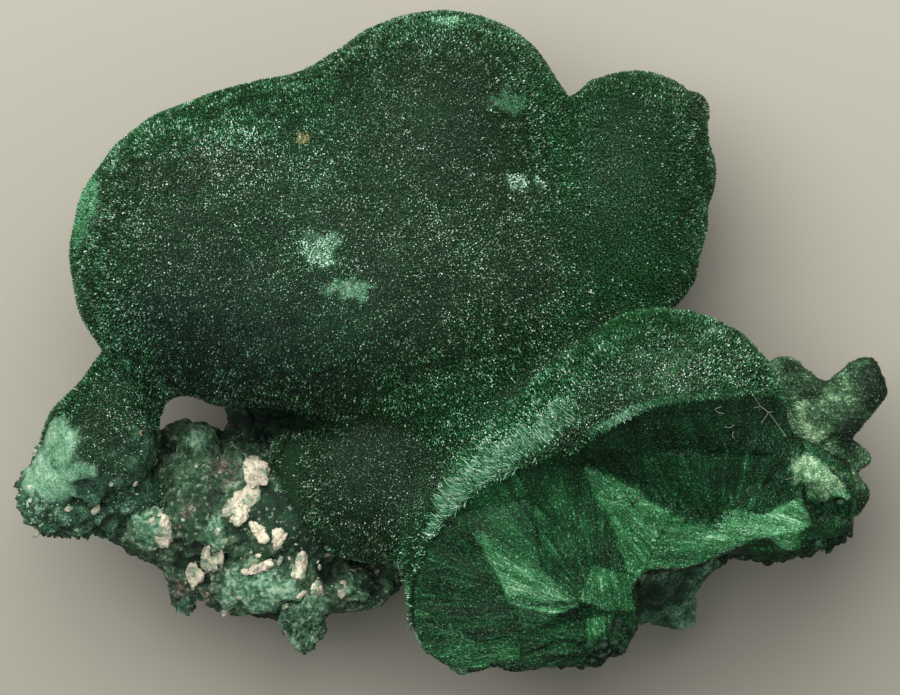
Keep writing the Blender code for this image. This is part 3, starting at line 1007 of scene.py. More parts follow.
shells = []
for lobe in [*upperLobes.values(), *rootLobes.values()]:
    shells.append(lobeShell(lobe, massField, mass["steps"], mass["reach"]))
massPoints, massFaces, massOut = skinOf(shells, massField, mass["grain"], 2)
acrossX, acrossY, _ = massPoints.T
massRoot = joinedLobes(massPoints, upperLobes) - joinedLobes(massPoints, rootLobes)
massRoot = easeBetween(-0.3, 1.2, massRoot)
onFoot = (1 - easeBetween(-27.2, -25.4, acrossX)) * (1 - easeBetween(-9.5, -5.5, acrossY))
lowFoot = onFoot * (1 - easeBetween(-12.5, -9.5, acrossY + 0.35 * (acrossX + 30)))
massCrust = patchShare(massPoints, mass["crustPlaces"], 0.2, 0.26) * easeBetween(-0.2, 0.3, massOut[:, 2])
massWorn = patchShare(massPoints, mass["wornPlaces"], 0.5, 0.6)
massSmooth = patchShare(massPoints, mass["smoothPlaces"], 0.5) * easeBetween(0.0, 0.5, massOut[:, 2] + 0.4)
rubbed = patchShare(massPoints, [place[:2] for place in mass["rubbedPlaces"]], 0.25, 0.9, 0.7)
rubbed = rubbed * (massOut[:, 2] > 0)
swell = 0.28 * layeredNoise(massPoints, 5.0, 2, 5) + 0.05 * softNoise(massPoints, 0.9, 9)
rough = 0.9 * layeredNoise(massPoints, 3.2, 4, 12, 0.55)
lumpy = 0.75 * (0.5 - grainNoise(massPoints, 1.5, 18)[0]) + 0.28 * (0.5 - grainNoise(massPoints, 0.75, 19)[0])
lumpy = lumpy + 0.30 * layeredNoise(massPoints, 1.0, 2, 22)
# raised: the tops of the lumps are painted lighter and the hollows between them darker, as shade
raised = 0.5 + 0.9 * (lumpy - 0.05) * lowFoot + (0.55 * rough + 0.5 * lumpy) * massRoot
# painted shade: darker still in the gap under the lip of the domes
raised = np.clip(raised, 0, 1) * (1 - 0.85 * patchShare(massPoints, mass["shadedGapPlaces"], 0.5))
lift = swell * (1 - massRoot) + (rough + 0.4 * lumpy) * massRoot
lift = lift + lumpy * (0.25 * onFoot + 1.3 * lowFoot + 0.5 * massWorn) * (1 - 0.7 * massCrust)
massPoints = raisedBy(massPoints, massOut, lift * easeBetween(0.0, 1.5, massPoints[:, 2]))
bare = np.maximum(np.maximum(massRoot, massWorn), 0.9 * lowFoot) * (1 - massSmooth)
readings = {"crust": np.maximum(massCrust, 0.7 * rubbed), "raised": raised, "bare": bare}
makePiece("velvetMass", massPoints, massFaces, skinFinish, *growth, readings=readings)


shells = [lobeShell(lobe, fanField, fracture["steps"], fracture["reach"]) for lobe in fanLobes.values()]
for corners, height, *_ in spray["plates"].values():
    seed = ((*np.mean(corners, 0), height), (1.0, 1.0, 1.0), 0)
    shells.append(lobeShell(seed, fanField, fracture["steps"], spray["reach"]))
fanPoints, fanFaces, fanOut = skinOf(shells, fanField, fracture["grain"], 3)
overCut = fanPoints[:, 2] - sheetAt(heights, fanPoints)
cells = nearestCell(fanPoints)
onSpray = easeBetween(-0.4, 0.4, joinedLobes(fanPoints, fanLobes) - sprayField(fanPoints))
offSpray = 1 - onSpray
fanBroken = easeBetween(-0.35, -0.12, overCut) * broken[cells] * offSpray
paleShare = patchShare(fanPoints, fracture["palePlaces"], 0.25) * fanBroken
darkEdge = patchShare(fanPoints, fracture["darkEdges"], 0.5)
cracked = patchShare(fanPoints, fracture["cracks"], 0.3, 0.1) * fanBroken
# painted sheen: the crest dome behind the broken faces is paler and greyer
crestSheen = np.exp(-(((fanPoints[:, :2] - [18.6, -1.8]) / [6.5, 3.6]) ** 2).sum(1))
crestSheen = crestSheen * (1 - fanBroken) * (fanPoints[:, 2] > 20)

# the way of the fibres: from the hearts on the faces, from inside the fans at their backs
away = fanPoints - np.array([14.0, -12.0, 12.0])
backFibre = np.arctan2(away[:, 1], away[:, 0]) * 9.0, np.sqrt((away**2).sum(1)) * 0.07, away[:, 2] * 1.2
fanFibre = np.where((fanBroken > 0.5)[:, None], fibreSheet[cells], np.stack(backFibre, 1))
fanFibre = np.where((onSpray > 0.5)[:, None], fanPoints * [0.5, 0.9, 0.7], fanFibre)
fanFibre = np.where((paleShare > 0.5)[:, None], fanPoints * 1.5, fanFibre)

sprayTone = 0.22 + 0.26 * easeBetween(0.4, 2.0, plateDistance(fanPoints, spray["plates"]["upright"]))
sprayTone = sprayTone + 0.26 * layeredNoise(fanPoints, 2.4, 4, 43, 0.6)
sprayTone = sprayTone + 0.42 * patchShare(fanPoints, spray["palePlaces"], 0.6)
fanTone = sheetAt(faceTones, fanPoints) * fanBroken + sprayTone * onSpray
fanTone = fanTone + (0.12 + 0.20 * crestSheen) * (1 - fanBroken) * offSpray
fanTone = fanTone * (1 - paleShare) + (0.69 + 0.14 * layeredNoise(fanPoints, 1.2, 3, 45)) * paleShare
# painted shade: the steep walls under the broken faces are darker
wall = 1 - easeBetween(0.25, 0.6, fanOut[:, 2])
wall = wall * (1 - velvetSide(fanPoints[:, 0], fanPoints[:, 1])) * offSpray
ragged = wall * easeBetween(0.1, 2.5, -overCut)
fanTone = fanTone * (1 - 0.7 * wall) * (1 - 0.75 * darkEdge * (1 - paleShare)) - 0.45 * cracked

chip = grainNoise(fanPoints, 1.1, 38)[0]
lift = (1 - fanBroken) * (0.16 * layeredNoise(fanPoints, 2.4, 3, 31) + 0.05 * softNoise(fanPoints, 0.5, 34))
lift = lift + ragged * (0.9 * (0.30 - chip) + 0.6 * layeredNoise(fanPoints, 1.6, 3, 36, 0.6) - 0.3)
lift = lift + darkEdge * offSpray * (0.7 * (0.45 - chip) + 0.35 * layeredNoise(fanPoints, 1.0, 3, 37))
lift = lift + paleShare * 0.30 * (0.40 - chip)
lift = lift + onSpray * (0.20 * layeredNoise(fanPoints, 1.8, 4, 39, 0.55) + 0.12 * (0.4 - chip))
fanPoints = fanPoints + fanOut * lift[:, None]
# dust on the spray and the pale face, and painted sheen on the crest dome
dustAndSheen = np.clip(0.75 * onSpray + 0.7 * paleShare + 0.4 * crestSheen, 0, 1)
readings = {"fibre": fanFibre, "tone": fanTone, "dustAndSheen": dustAndSheen}
makePiece("brokenFans", fanPoints, fanFaces, fibreFinish, *growth, readings=readings)


rockLobes = {
    "rockBase": ((-14.0, -13.6, 5.5), (12.0, 7.2, 7.5), 0, 1.0),
    "rockBody": ((-17.6, -15.0, 13.0), (9.6, 7.0, 8.5), -10, 3.0),
    "rockShelf": ((-15.4, -20.6, 15.0), (6.4, 3.2, 5.2), -4, 1.4),
    "rockCorner": ((-25.4, -15.6, 14.0), (4.4, 3.0, 5.5), -14, 1.2),
    "rockLeft": ((-21.8, -19.0, 12.5), (2.8, 2.6, 4.5), 0, 1.0),
    "rockPoint": ((-12.8, -23.2, 16.4), (1.4, 2.0, 2.4), 8, 0.6),
    "rockCrumb": ((-23.0, -21.6, 11.5), (1.2, 1.6, 2.2), 0, 0.6),
    "rockEnd": ((-8.2, -20.8, 12.5), (3.6, 2.0, 4.2), 8, 1.0),
    "rockArch": ((-4.8, -18.6, 12.0), (2.6, 1.4, 3.6), 0, 0.8),
    "rockTop": ((-22.6, -8.6, 12.5), (3.0, 1.9, 4.0), 0, 1.0),
    "rockRise": ((-13.8, -14.6, 15.0), (3.6, 4.8, 6.2), -12, 2.5),
    "rockBack": ((-17.2, -6.6, 10.5), (2.5, 2.6, 4.0), 0, 0.8),
}
rock = {
    "steps": (96, 49),
    "reach": 2.0,
    "grain": 0.20,
    "lumps": 0.42,
    "pits": 0.7,
    "crumbs": 0.15,
    "fine": 0.26,
    "plate": 0.55,
    # the rock's stained places, and the hollows where shade is painted: how soft their edges are, and their
    # places
    "stainsAndShade": {
        "mint": (0.3, [
            ((-16.3, -20.9), (3.5, 1.9)), ((-25.7, -15.2), (1.5, 1.5)), ((-21.6, -7.9), (1.2, 1.1)),
            ((-14.2, -9.2), (0.6, 0.6)), ((-9.3, -20.5), (0.7, 0.8)), ((-20.2, -16.0), (0.8, 1.6)),
        ]),
        "brown": (0.5, [
            ((-21.8, -15.2), (2.1, 1.8)), ((-24.2, -21.0), (1.4, 1.0)), ((-20.8, -21.2), (1.2, 0.9)),
            ((-26.3, -12.6), (0.8, 0.8)), ((-24.8, -13.7), (0.7, 0.7)), ((-19.6, -11.5), (1.3, 1.5)),
            ((-7.0, -19.0), (1.0, 0.8)),
        ]),
        "teal": (0.5, [((-23.0, -21.6), (1.3, 1.6)), ((-17.0, -7.4), (1.6, 0.9))]),
        "deep": (0.6, [
            ((-14.7, -13.6), (2.2, 3.0)), ((-12.7, -16.7), (3.4, 1.8)), ((-17.6, -15.2), (1.2, 1.4)),
        ]),
        # painted shade: the gap under the lip of the domes and two small recesses
        "hollow": (0.5, [
            ((-14.8, -6.8), (5.6, 1.7)), ((-15.6, -23.3), (2.2, 0.6)), ((-10.4, -19.4), (1.0, 1.0)),
        ]),
    },
}


def rockField(points):
    return softFloor(points, joinedLobes(points, rockLobes))


shells = [lobeShell(lobe, rockField, rock["steps"], rock["reach"]) for lobe in rockLobes.values()]
rockPoints, rockFaces, rockOut = skinOf(shells, rockField, rock["grain"], 2)
bend = rockPoints + 0.5 * layeredNoise(rockPoints, 1.6, 2, 81)[:, None]
first, second, mark = grainNoise(bend, 2.4, 82)
ledges = rock["lumps"] * (mark - 0.5) * easeBetween(0.02, 0.22, second - first)
first, second, mark = grainNoise(bend, 0.95, 86)
lumps = rock["crumbs"] * (mark - 0.3) * easeBetween(0.0, 0.3, second - first)
upward = easeBetween(0.0, 0.4, rockOut[:, 2])
stainAndShade = {word: patchShare(rockPoints, places, blur) for word, (blur, places) in rock["stainsAndShade"].items()}
stainAndShade["mint"] = stainAndShade["mint"] * upward
pitted = easeBetween(0.30, 0.60, layeredNoise(rockPoints, 2.2, 3, 90))
pitted = pitted * (1 - stainAndShade["mint"]) * (1 - stainAndShade["deep"])
lift = (ledges + lumps) * (1 - 0.7 * stainAndShade["deep"]) - rock["pits"] * np.maximum(pitted, stainAndShade["hollow"])
lift = lift + rock["fine"] * layeredNoise(rockPoints, 1.1, 4, 94, 0.62) * (1 - 0.5 * stainAndShade["deep"])
lift = lift * (1 - 0.7 * stainAndShade["mint"]) + rock["plate"] * stainAndShade["mint"]
rockPoints = raisedBy(rockPoints, rockOut, lift * easeBetween(0.0, 1.0, rockPoints[:, 2]))
# painted shade: the pits and the hollows are darkened
hollow = np.maximum(pitted * 0.75, stainAndShade["hollow"] * 0.95)
readings = {**stainAndShade, "teal": stainAndShade["teal"] * 0.7, "hollow": hollow}
makePiece("rockMatrix", rockPoints, rockFaces, rockFinish, *hostRock, readings=readings)


# grains: their corners seen from above and how far they stand out of the rock
grains = {
    "grainSteps": (56, 29),
    "fleckSteps": (14, 8),
    "edge": 7,
    "rough": 0.24,
    "swell": 1.1,
    "depth": 1.5,
    "fleckRise": 0.22,
    "fleckDepth": 0.5,
    "outlines": {
        "01": ([
            (-17.7, -10.0), (-16.9, -9.5), (-15.8, -10.4), (-15.9, -11.3), (-16.5, -12.2), (-17.3, -12.3),
            (-17.6, -11.2),
        ], 0.5),
        "02": ([
            (-17.4, -12.2), (-16.6, -12.1), (-16.7, -13.3), (-17.4, -14.3), (-18.2, -15.4), (-18.8, -15.2),
            (-19.7, -14.8), (-19.6, -14.3), (-18.8, -13.1),
        ], 0.45),
        "03": ([
            (-24.6, -14.6), (-24.0, -15.6), (-23.9, -16.5), (-24.5, -17.2), (-25.3, -16.6), (-25.1, -15.8),
        ], 0.5),
        "04": ([
            (-21.1, -17.1), (-20.1, -17.0), (-19.6, -17.8), (-19.7, -18.9), (-20.5, -19.4), (-21.4, -19.0),
            (-21.5, -18.1),
        ], 0.45),
        "05": ([
            (-22.6, -19.0), (-22.1, -18.5), (-21.2, -19.3), (-21.4, -20.1), (-22.2, -20.8), (-22.8, -19.7),
        ], 0.45),
        "06": ([
            (-17.4, -15.4), (-16.8, -15.1), (-15.8, -15.8), (-15.8, -16.6), (-16.4, -16.8), (-17.1, -16.1),
        ], 0.5),
        "07": ([
            (-15.4, -15.8), (-14.6, -15.7), (-13.7, -16.2), (-13.9, -16.7), (-14.7, -17.2), (-15.1, -17.8),
            (-15.5, -17.4),
        ], 0.45),
        "08": ([
            (-16.3, -18.0), (-15.3, -18.3), (-15.6, -19.1), (-16.7, -19.8), (-17.3, -19.6), (-18.0, -19.8),
            (-18.0, -19.3), (-17.1, -18.9),
        ], 0.4),
        "09": ([
            (-13.3, -17.8), (-12.7, -17.7), (-12.5, -18.5), (-12.8, -19.7), (-13.6, -19.9), (-13.5, -18.8),
        ], 0.35),
        "10": ([
            (-12.0, -20.6), (-11.4, -20.3), (-10.7, -20.7), (-11.0, -21.3), (-10.8, -21.9), (-11.3, -22.1),
            (-12.0, -21.2),
        ], 1.3),
        "11": ([
            (-14.8, -23.1), (-14.4, -22.9), (-14.1, -23.8), (-13.7, -25.1), (-14.0, -25.3), (-14.6, -24.1),
        ], 1.3),
    },
    # small pale flecks: place, half length, share that is width, turn
    "flecks": [
        ((-17.7, -19.3), 0.45, 0.7, 10), ((-16.1, -22.5), 0.34, 0.8, 40), ((-18.2, -21.6), 0.28, 0.8, 0),
        ((-12.9, -21.3), 0.70, 0.36, 35), ((-13.5, -19.4), 0.50, 0.6, 75), ((-9.4, -21.0), 0.85, 0.68, 80),
        ((-25.7, -15.0), 0.42, 0.7, 30), ((-24.9, -14.4), 0.36, 0.8, 60), ((-25.6, -17.4), 0.40, 0.6, 0),
        ((-10.7, -22.2), 0.35, 0.7, 70), ((-14.3, -22.3), 0.40, 0.6, 40), ((-19.5, -22.9), 0.40, 0.7, 60),
        ((-19.5, -16.8), 0.36, 0.8, 20), ((-20.0, -15.9), 0.45, 0.6, 60), ((-14.8, -18.5), 0.42, 0.5, 60),
        ((-11.4, -19.0), 0.30, 0.6, 80), ((-35.6, -16.3), 0.40, 0.5, 20), ((-33.6, -16.6), 0.35, 0.5, -30),
        ((-4.6, -18.5), 0.45, 0.5, 110), ((-35.3, -15.3), 0.70, 0.7, -40), ((-30.4, -14.1), 0.62, 0.6, 60),
        ((-36.3, -13.4), 0.36, 0.7, 80), ((-36.0, -12.2), 0.26, 0.8, 60), ((-32.6, -14.0), 0.40, 0.6, 20),
        ((-26.4, -7.5), 0.60, 0.5, 100), ((-27.0, -11.9), 0.36, 0.6, 40), ((-16.6, -18.0), 0.30, 0.8, 0),
    ],
}


def chipShell(outline, low, high, seed, steps):
    # a flat-topped chip: each way from its middle is stopped by its sides, its top and its foot,
    # t = (sum of (way . side / distance of the side)^p)^(-1/p), then roughened
    middle, out, far = sidesOf(outline)
    way, faces = ballGrid(*steps)
    stops = np.column_stack([way[:, :2] @ (out / far[:, None]).T, np.abs(way[:, 2]) / (high - low) * 2])
    size = (np.maximum(stops, 0) ** grains["edge"]).sum(1) ** (-1 / grains["edge"])
    points = way * size[:, None] * grains["swell"]
    ragged = grains["rough"] * layeredNoise(points + seed * 9.1, 0.8, 5, 101, 0.7)
    points = points * (1 + ragged)[:, None] + [*middle, (low + high) / 2]
    return closed(points, steps[0]), faces


def skinNear(skin, x, y, reach):
    # the heights of a skin's points close to a place
    return skin[(np.abs(skin[:, 0] - x) < reach) & (np.abs(skin[:, 1] - y) < reach), 2]


def skinHeight(x, y):
    # how high the rock or the foot is close to a place, leaving out its lowest points
    near = skinNear(rockPoints if x > -26.5 else massPoints, x, y, 0.45)
    near = near[near > 12.0]
    return float(np.percentile(near, 70)) if near.size else 15.0


def skinTop(x, y):
    # the highest point of any skin close to a place
    return max(skinNear(skin, x, y, 0.16).max(initial=0.0) for skin in (massPoints, fanPoints, rockPoints))


def onSlope(outline, rise, depth, seed, steps):
    # a chip set into the skin and tilted with it: z moves by a plane fitted at its corners
    outline = np.array(outline, float)
    tops = np.array([skinHeight(x, y) for x, y in outline])
    level = np.median(tops)
    points, faces = chipShell(outline, level - depth, level + rise, seed, steps)
    flat = np.column_stack([outline - outline.mean(0), np.ones(len(outline))])
    slope = np.linalg.lstsq(flat, tops, rcond=None)[0][:2].clip(-0.7, 0.7)
    points[:, 2] += (points[:, :2] - outline.mean(0)) @ slope
    return points, faces


def turnedBy(places, degrees):
    c, s = np.cos(np.radians(degrees)), np.sin(np.radians(degrees))
    return places @ np.array([[c, s], [-s, c]])


grainNames = sorted(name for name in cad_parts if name.startswith("pale_grain"))
for number, name in enumerate(grainNames):
    outline, rise = grains["outlines"][name[-2:]]
    points, faces = onSlope(outline, rise, grains["depth"], number + 5, grains["grainSteps"])
    makePiece("gangueGrain" + name[-2:], points, faces, gangueFinish, "pale_gangue", [name])

# the green block at the lower point of the rock
rhomb = {
    "outline": [(-13.6, -21.8), (-12.0, -21.1), (-10.9, -21.9), (-11.2, -23.8), (-12.5, -25.9),
                (-13.1, -25.7), (-14.1, -24.5), (-14.7, -23.4), (-14.4, -22.5)],
    "low": 15.2,
    "high": 19.8,
    "steps": (90, 60),
    "mint": 0.35,
}
points, faces = chipShell(rhomb["outline"], rhomb["low"], rhomb["high"], 3, rhomb["steps"])
points = points + 0.16 * layeredNoise(points, 0.8, 3, 105, 0.65)[:, None]
readings = {word: np.full(len(points), rhomb.get(word, 0.0)) for word in rock["stainsAndShade"]}
makePiece("rockRhomb", points, faces, rockFinish, *hostRock, readings=readings)

shells = []
for number, (place, long, slim, turn) in enumerate(grains["flecks"]):
    # a rough hexagon, drawn out along its turn
    dice = np.random.default_rng(number + 31)
    bearing = np.arange(6) * np.pi / 3 + dice.uniform(-0.3, 0.3, 6)
    corners = np.stack([np.cos(bearing), slim * np.sin(bearing)], 1) * long * dice.uniform(0.8, 1.15, (6, 1))
    sunk = grains["fleckRise"], grains["fleckDepth"], number + 31, grains["fleckSteps"]
    shells.append(onSlope(turnedBy(corners, turn) + place, *sunk))
makePiece("gangueFlecks", *joined(shells), gangueFinish, "pale_gangue", ["host_rock"])


# each pile: how many needles, how far they lean by chance, and the lowest and highest length and
# width in millimetres
piles = {
    "mass": {"count": 154000, "lean": 0.18, "length": (0.24, 0.42), "width": (0.0392, 0.0728)},
    "fan": {"count": 17000, "lean": 0.16, "length": (0.26, 0.44), "width": (0.0392, 0.0728)},
    "spikes": {"count": 4800, "lean": 0.22, "length": (0.38, 0.95), "width": (0.036, 0.090)},
    "crest": {"count": 3200, "lean": 0.5, "length": (0.12, 0.36), "width": (0.04, 0.08)},
    "spray": {"count": 4200, "lean": 0.3, "length": (0.05, 0.10), "width": (0.0385, 0.077)},
    "splinters": {"count": 26000, "lean": 0.01, "length": (0.15, 0.55), "width": (0.018, 0.036)},
}
# where the pile is greener, bluer (painted blue-black shade), paler or quieter (fewer painted glints) from
# above: place, reach, amount
needles = {
    "massPieces": 4,
    "tilt": 0.34,
    "greenPlaces": [
        ((-22.4, 17.7), (8.5, 3.0), 0.7), ((-1.0, -5.2), (9.0, 4.0), 0.75),
        ((-28.4, -2.3), (3.0, 3.5), 0.8), ((10.3, 16.4), (2.6, 5.0), 0.6), ((15.5, 9.0), (6.0, 9.0), 0.4),
        ((-2.4, -15.0), (2.6, 5.0), 0.6), ((-13.0, 19.5), (5.0, 2.6), 0.5), ((4.0, -8.0), (5.0, 4.0), 0.9),
        ((-9.0, 4.0), (3.4, 2.4), 0.25), ((-12.5, 11.5), (3.0, 5.5), 0.35),
        ((-8.0, -10.5), (6.0, 5.0), -0.55), ((-18.6, 14.8), (7.0, 2.0), -0.6),
        ((18.5, -1.8), (6.0, 3.0), -0.15), ((0.0, 17.0), (7.0, 6.0), -0.25),
    ],
    "blueShadePlaces": [
        ((-17.6, 0.4), (8.5, 4.8), 1.0), ((-24.4, 3.0), (3.0, 4.0), 0.5), ((-7.4, -13.0), (4.0, 3.0), 0.35),
    ],
    # the pale places hold painted sheen along the upper left edge, on the grey band below it and on the crest
    # dome, and, where less than nought, painted shade on the low left side turned from the light and in the
    # gap under the lip
    "palePlaces": [
        ((-22.4, 17.6), (8.5, 2.6), 0.15), ((-17.6, 15.2), (6.5, 1.7), 0.12),
        ((-27.4, 14.0), (3.0, 4.0), 0.05), ((-1.0, 19.0), (8.0, 6.0), -0.03),
        ((-1.0, 0.5), (9.0, 3.0), 0.05), ((19.4, -1.8), (5.8, 2.6), 0.27), ((4.0, -6.5), (5.0, 4.0), 0.12),
        ((-17.4, -0.6), (9.6, 4.0), -0.42), ((-17.0, 3.6), (9.0, 2.0), -0.05),
        ((-6.0, -0.5), (6.0, 2.6), -0.10), ((-11.5, 12.5), (3.0, 5.0), 0.04),
        ((-6.6, -11.4), (8.0, 6.0), -0.06), ((-15.4, -6.6), (6.4, 1.7), -0.22),
        ((-28.6, -12.0), (3.4, 2.6), 0.03), ((14.5, 8.0), (6.0, 8.0), 0.06),
        ((-1.5, -4.8), (6.0, 2.6), 0.06),
    ],
    "quietPlaces": [
        ((14.8, 11.0), (7.5, 14.0), 1.0), ((-1.0, 20.0), (9.0, 7.0), 0.25),
        ((-6.6, -10.4), (8.0, 6.0), 0.25),
    ],
    "tuft": 0.62,
    "rimWay": (-0.35, 0.30, 0.0),
    "spikeWay": (-0.40, 0.35, 0.0),
    "rimLine": [
        (-1.4, -15.8), (0.6, -12.4), (2.8, -10.4), (5.0, -8.7), (7.4, -7.0), (9.6, -4.7), (11.5, -1.7),
        (13.9, 0.6),
    ],
    "spikeLine": [(-1.2, -15.4), (0.7, -12.6), (3.0, -10.6), (5.2, -9.1), (7.6, -7.6), (9.2, -6.2)],
    "crestLine": [
        (11.6, -7.4), (12.8, -6.7), (14.6, -5.7), (17.1, -4.9), (20.1, -4.5), (22.8, -4.3), (25.3, -4.0),
        (27.1, -4.1), (28.5, -4.9), (29.1, -7.4),
    ],
}


def planted(points, faces, density, count):
    # roots spread over a skin by area times density; gives what reads any value of the skin there,
    # as the blend of a face's three corners
    triangles = np.concatenate([faces[:, [0, 1, 2]], faces[:, [0, 2, 3]]])
    a, b, c = (points[triangles[:, k]] for k in range(3))
    area = np.sqrt((np.cross(b - a, c - a) ** 2).sum(1)) / 2
    weight = np.cumsum(area * density[triangles].mean(1))
    pick = np.searchsorted(weight, (np.arange(count) + chance.random(count)) / count * weight[-1])
    corners = triangles[np.minimum(pick, len(triangles) - 1)]
    u, v = chance.random((2, count))
    over = u + v > 1
    u, v = np.where(over, 1 - u, u), np.where(over, 1 - v, v)
    blend = np.stack([1 - u - v, u, v], 1)

    def at(values):
        return (values[corners] * (blend[..., None] if values.ndim > 1 else blend)).sum(1)

    return at


def pileOn(word, points, faces, density):
    # a pile's count, its reader and its roots
    count = int(piles[word]["count"] / coarse**2)
    at = planted(points, faces, density, count)
    return count, at, at(points)


def leaning(ways, amount):
    moved = ways + chance.normal(0, amount, ways.shape)
    return moved / np.sqrt((moved**2).sum(1))[:, None]


def between(word, measure, count):
    return chance.uniform(*piles[word][measure], count)


def sideways(ways):
    # two ways square to each way and to each other
    helper = np.where(np.abs(ways[:, 2:]) < 0.9, [[0.0, 0.0, 1.0]], [[1.0, 0.0, 0.0]])
    one = np.cross(ways, helper)
    one /= np.sqrt((one**2).sum(1))[:, None]
    return one, np.cross(ways, one)


def needlePiece(name, roots, ways, lengths, widths, tones, columns, blunt):
    # blunt: a point at the root and a small tilted triangle for a tip; sharp: the other way round.
    # the ring's corner k stands at width (cos(turn + 120 k) one + sin(turn + 120 k) other)
    count = len(roots)
    one, other = sideways(ways)
    turn = chance.random(count) * 2 * np.pi
    tilt = chance.normal(0, needles["tilt"], (count, 2))
    ends = roots + ways * lengths[:, None]
    ring = []
    for k in range(3):
        c, s = np.cos(turn + k * 2 * np.pi / 3), np.sin(turn + k * 2 * np.pi / 3)
        corner = widths[:, None] * (c[:, None] * one + s[:, None] * other)
        if blunt:
            corner = corner + (widths * (c * tilt[:, 0] + s * tilt[:, 1]))[:, None] * ways
        ring.append(corner + (ends if blunt else roots))
    points = np.stack([roots if blunt else ends, *ring], 1).reshape(-1, 3)
    # the corners of a needle's four faces, and how far from root to tip each corner is coloured
    if blunt:
        pattern = np.array([[0, 2, 1], [0, 3, 2], [0, 1, 3], [1, 2, 3]])
        across = np.array([[0.04, 0.84, 0.84]] * 3 + [[0.92, 0.92, 0.98]])
    else:
        pattern = np.array([[0, 1, 2], [0, 2, 3], [0, 3, 1], [1, 3, 2]])
        across = np.array([[0.98, 0.40, 0.40]] * 3 + [[0.40, 0.40, 0.44]])
    faces = (np.arange(count)[:, None, None] * 4 + pattern).reshape(-1, 3)
    piece = makePiece(name, points, faces, pileFinish, *growth, smooth=False)
    level = np.clip(tones, 0.01, 0.99)[:, None, None] + np.array([0.0, -0.004, 0.004])
    level = np.broadcast_to(level, (count, 4, 3))
    spots = np.stack([(columns[:, None, None] + across) / pile["columns"], level], -1)
    for word in ("pile", "OFBake"):
        layer = piece.data.uv_layers.new(name=word)
        layer.uv.foreach_set("vector", np.ascontiguousarray(spots, np.float32).ravel())


def placeShare(points, places):
    # bell-shaped ovals added up
    total = np.zeros(len(points))
    for middle, reach, amount in places:
        away = (((points[:, :2] - middle) / reach) ** 2).sum(1)
        total = total + amount * np.exp(-away)
    return total


def pileReading(points, ways):
    # each needle's tone and column, from where it stands, which way it looks, and chance
    count = len(points)
    side = np.sqrt(np.clip(1 - ways[:, 2] ** 2, 0, 1))
    ragged = points + 0.8 * layeredNoise(points, 2.0, 3, 117)[:, None]
    lively = 1 - np.clip(placeShare(ragged, needles["quietPlaces"]), 0, 0.92)
    cloud = layeredNoise(points, 4.4, 4, 111, 0.6)
    clump = layeredNoise(points * [1, 1.5, 1], 0.95, 3, 113, 0.7)
    tone = 0.190 + 0.06 * cloud + placeShare(ragged, needles["palePlaces"]) + 0.10 * (1 - lively)
    tone = tone + 0.075 * clump * (0.3 + 0.7 * lively)
    tone = tone + chance.normal(0, 0.02 + 0.09 * lively, count)
    # painted shade: blue-black needles on the low sides turned from the light
    blue = placeShare(ragged, needles["blueShadePlaces"])
    often = np.clip(1 + 0.5 * cloud + 0.9 * clump, 0.2, 2.0) * (1 - 0.1 * blue)
    # painted glints: some needles get pale tips, as light glinting on them
    glint = chance.random(count) < 0.44 * lively * often
    tone = np.where(glint, np.maximum(tone, 0.10) + 0.07 + 0.62 * chance.random(count) ** 1.9, tone)
    hue = layeredNoise(points, 5.5, 3, 119, 0.6)
    green = 0.24 + 0.30 * hue + placeShare(ragged, needles["greenPlaces"])
    green = green + 0.45 * easeBetween(0.55, 0.9, side)
    column = np.where(chance.random(count) < np.clip(green, 0, 0.95), 1.0, 0.0)
    column = np.where(chance.random(count) < np.clip(blue, 0, 0.9), 2.0, column)
    return tone, column


def lineShare(points, line, width):
    # a bell over how far each place is, seen from above, from the nearest stretch of a line
    best = np.full(len(points), 99.0)
    for a, b in zip(np.array(line[:-1]), np.array(line[1:])):
        along = np.clip(((points[:, :2] - a) @ (b - a)) / ((b - a) ** 2).sum(), 0, 1)
        gap = points[:, :2] - a - along[:, None] * (b - a)
        best = np.minimum(best, np.sqrt((gap**2).sum(1)))
    return np.exp(-((best / width) ** 2))


massNormal = cornerNormals(massPoints, massFaces)
bareness = [massRoot, massCrust, 0.9 * lowFoot, 0.62 * massSmooth, 0.75 * massWorn]
density = 1 - easeBetween(0.2, 0.7, np.max(bareness, 0))
density = density * (0.22 + 0.78 * easeBetween(-0.45, 0.05, massNormal[:, 2]))
density = density * easeBetween(mass["rootTop"] - 3, mass["rootTop"], massPoints[:, 2])
density = density * (0.15 + 0.85 * easeBetween(0.1, 0.6, lobeDistance(massPoints, mass["gap"])))
density = density * (fanField(massPoints) > -0.3)
count, at, roots = pileOn("mass", massPoints, massFaces, density)
ways = leaning(at(massNormal), piles["mass"]["lean"])
tones, columns = pileReading(roots, ways)
for place, reach, paleness in mass["rubbedPlaces"]:
    share = patchShare(roots, [(place, reach)], 0.25, 0.9, 0.7) * (ways[:, 2] > 0)
    share = share * (chance.random(count) < 0.9)
    tones = tones * (1 - share) + (paleness + chance.normal(0, 0.08, count)) * share
    columns = np.where(share > 0.4, 1.0, columns)
lengths = between("mass", "length", count)
widths = between("mass", "width", count)
order = np.argsort(roots[:, 0])
for part, chosen in enumerate(np.array_split(order, needles["massPieces"])):
    lot = (values[chosen] for values in (roots, ways, lengths, widths, tones, columns))
    needlePiece(f"massPile{part + 1}", *lot, True)


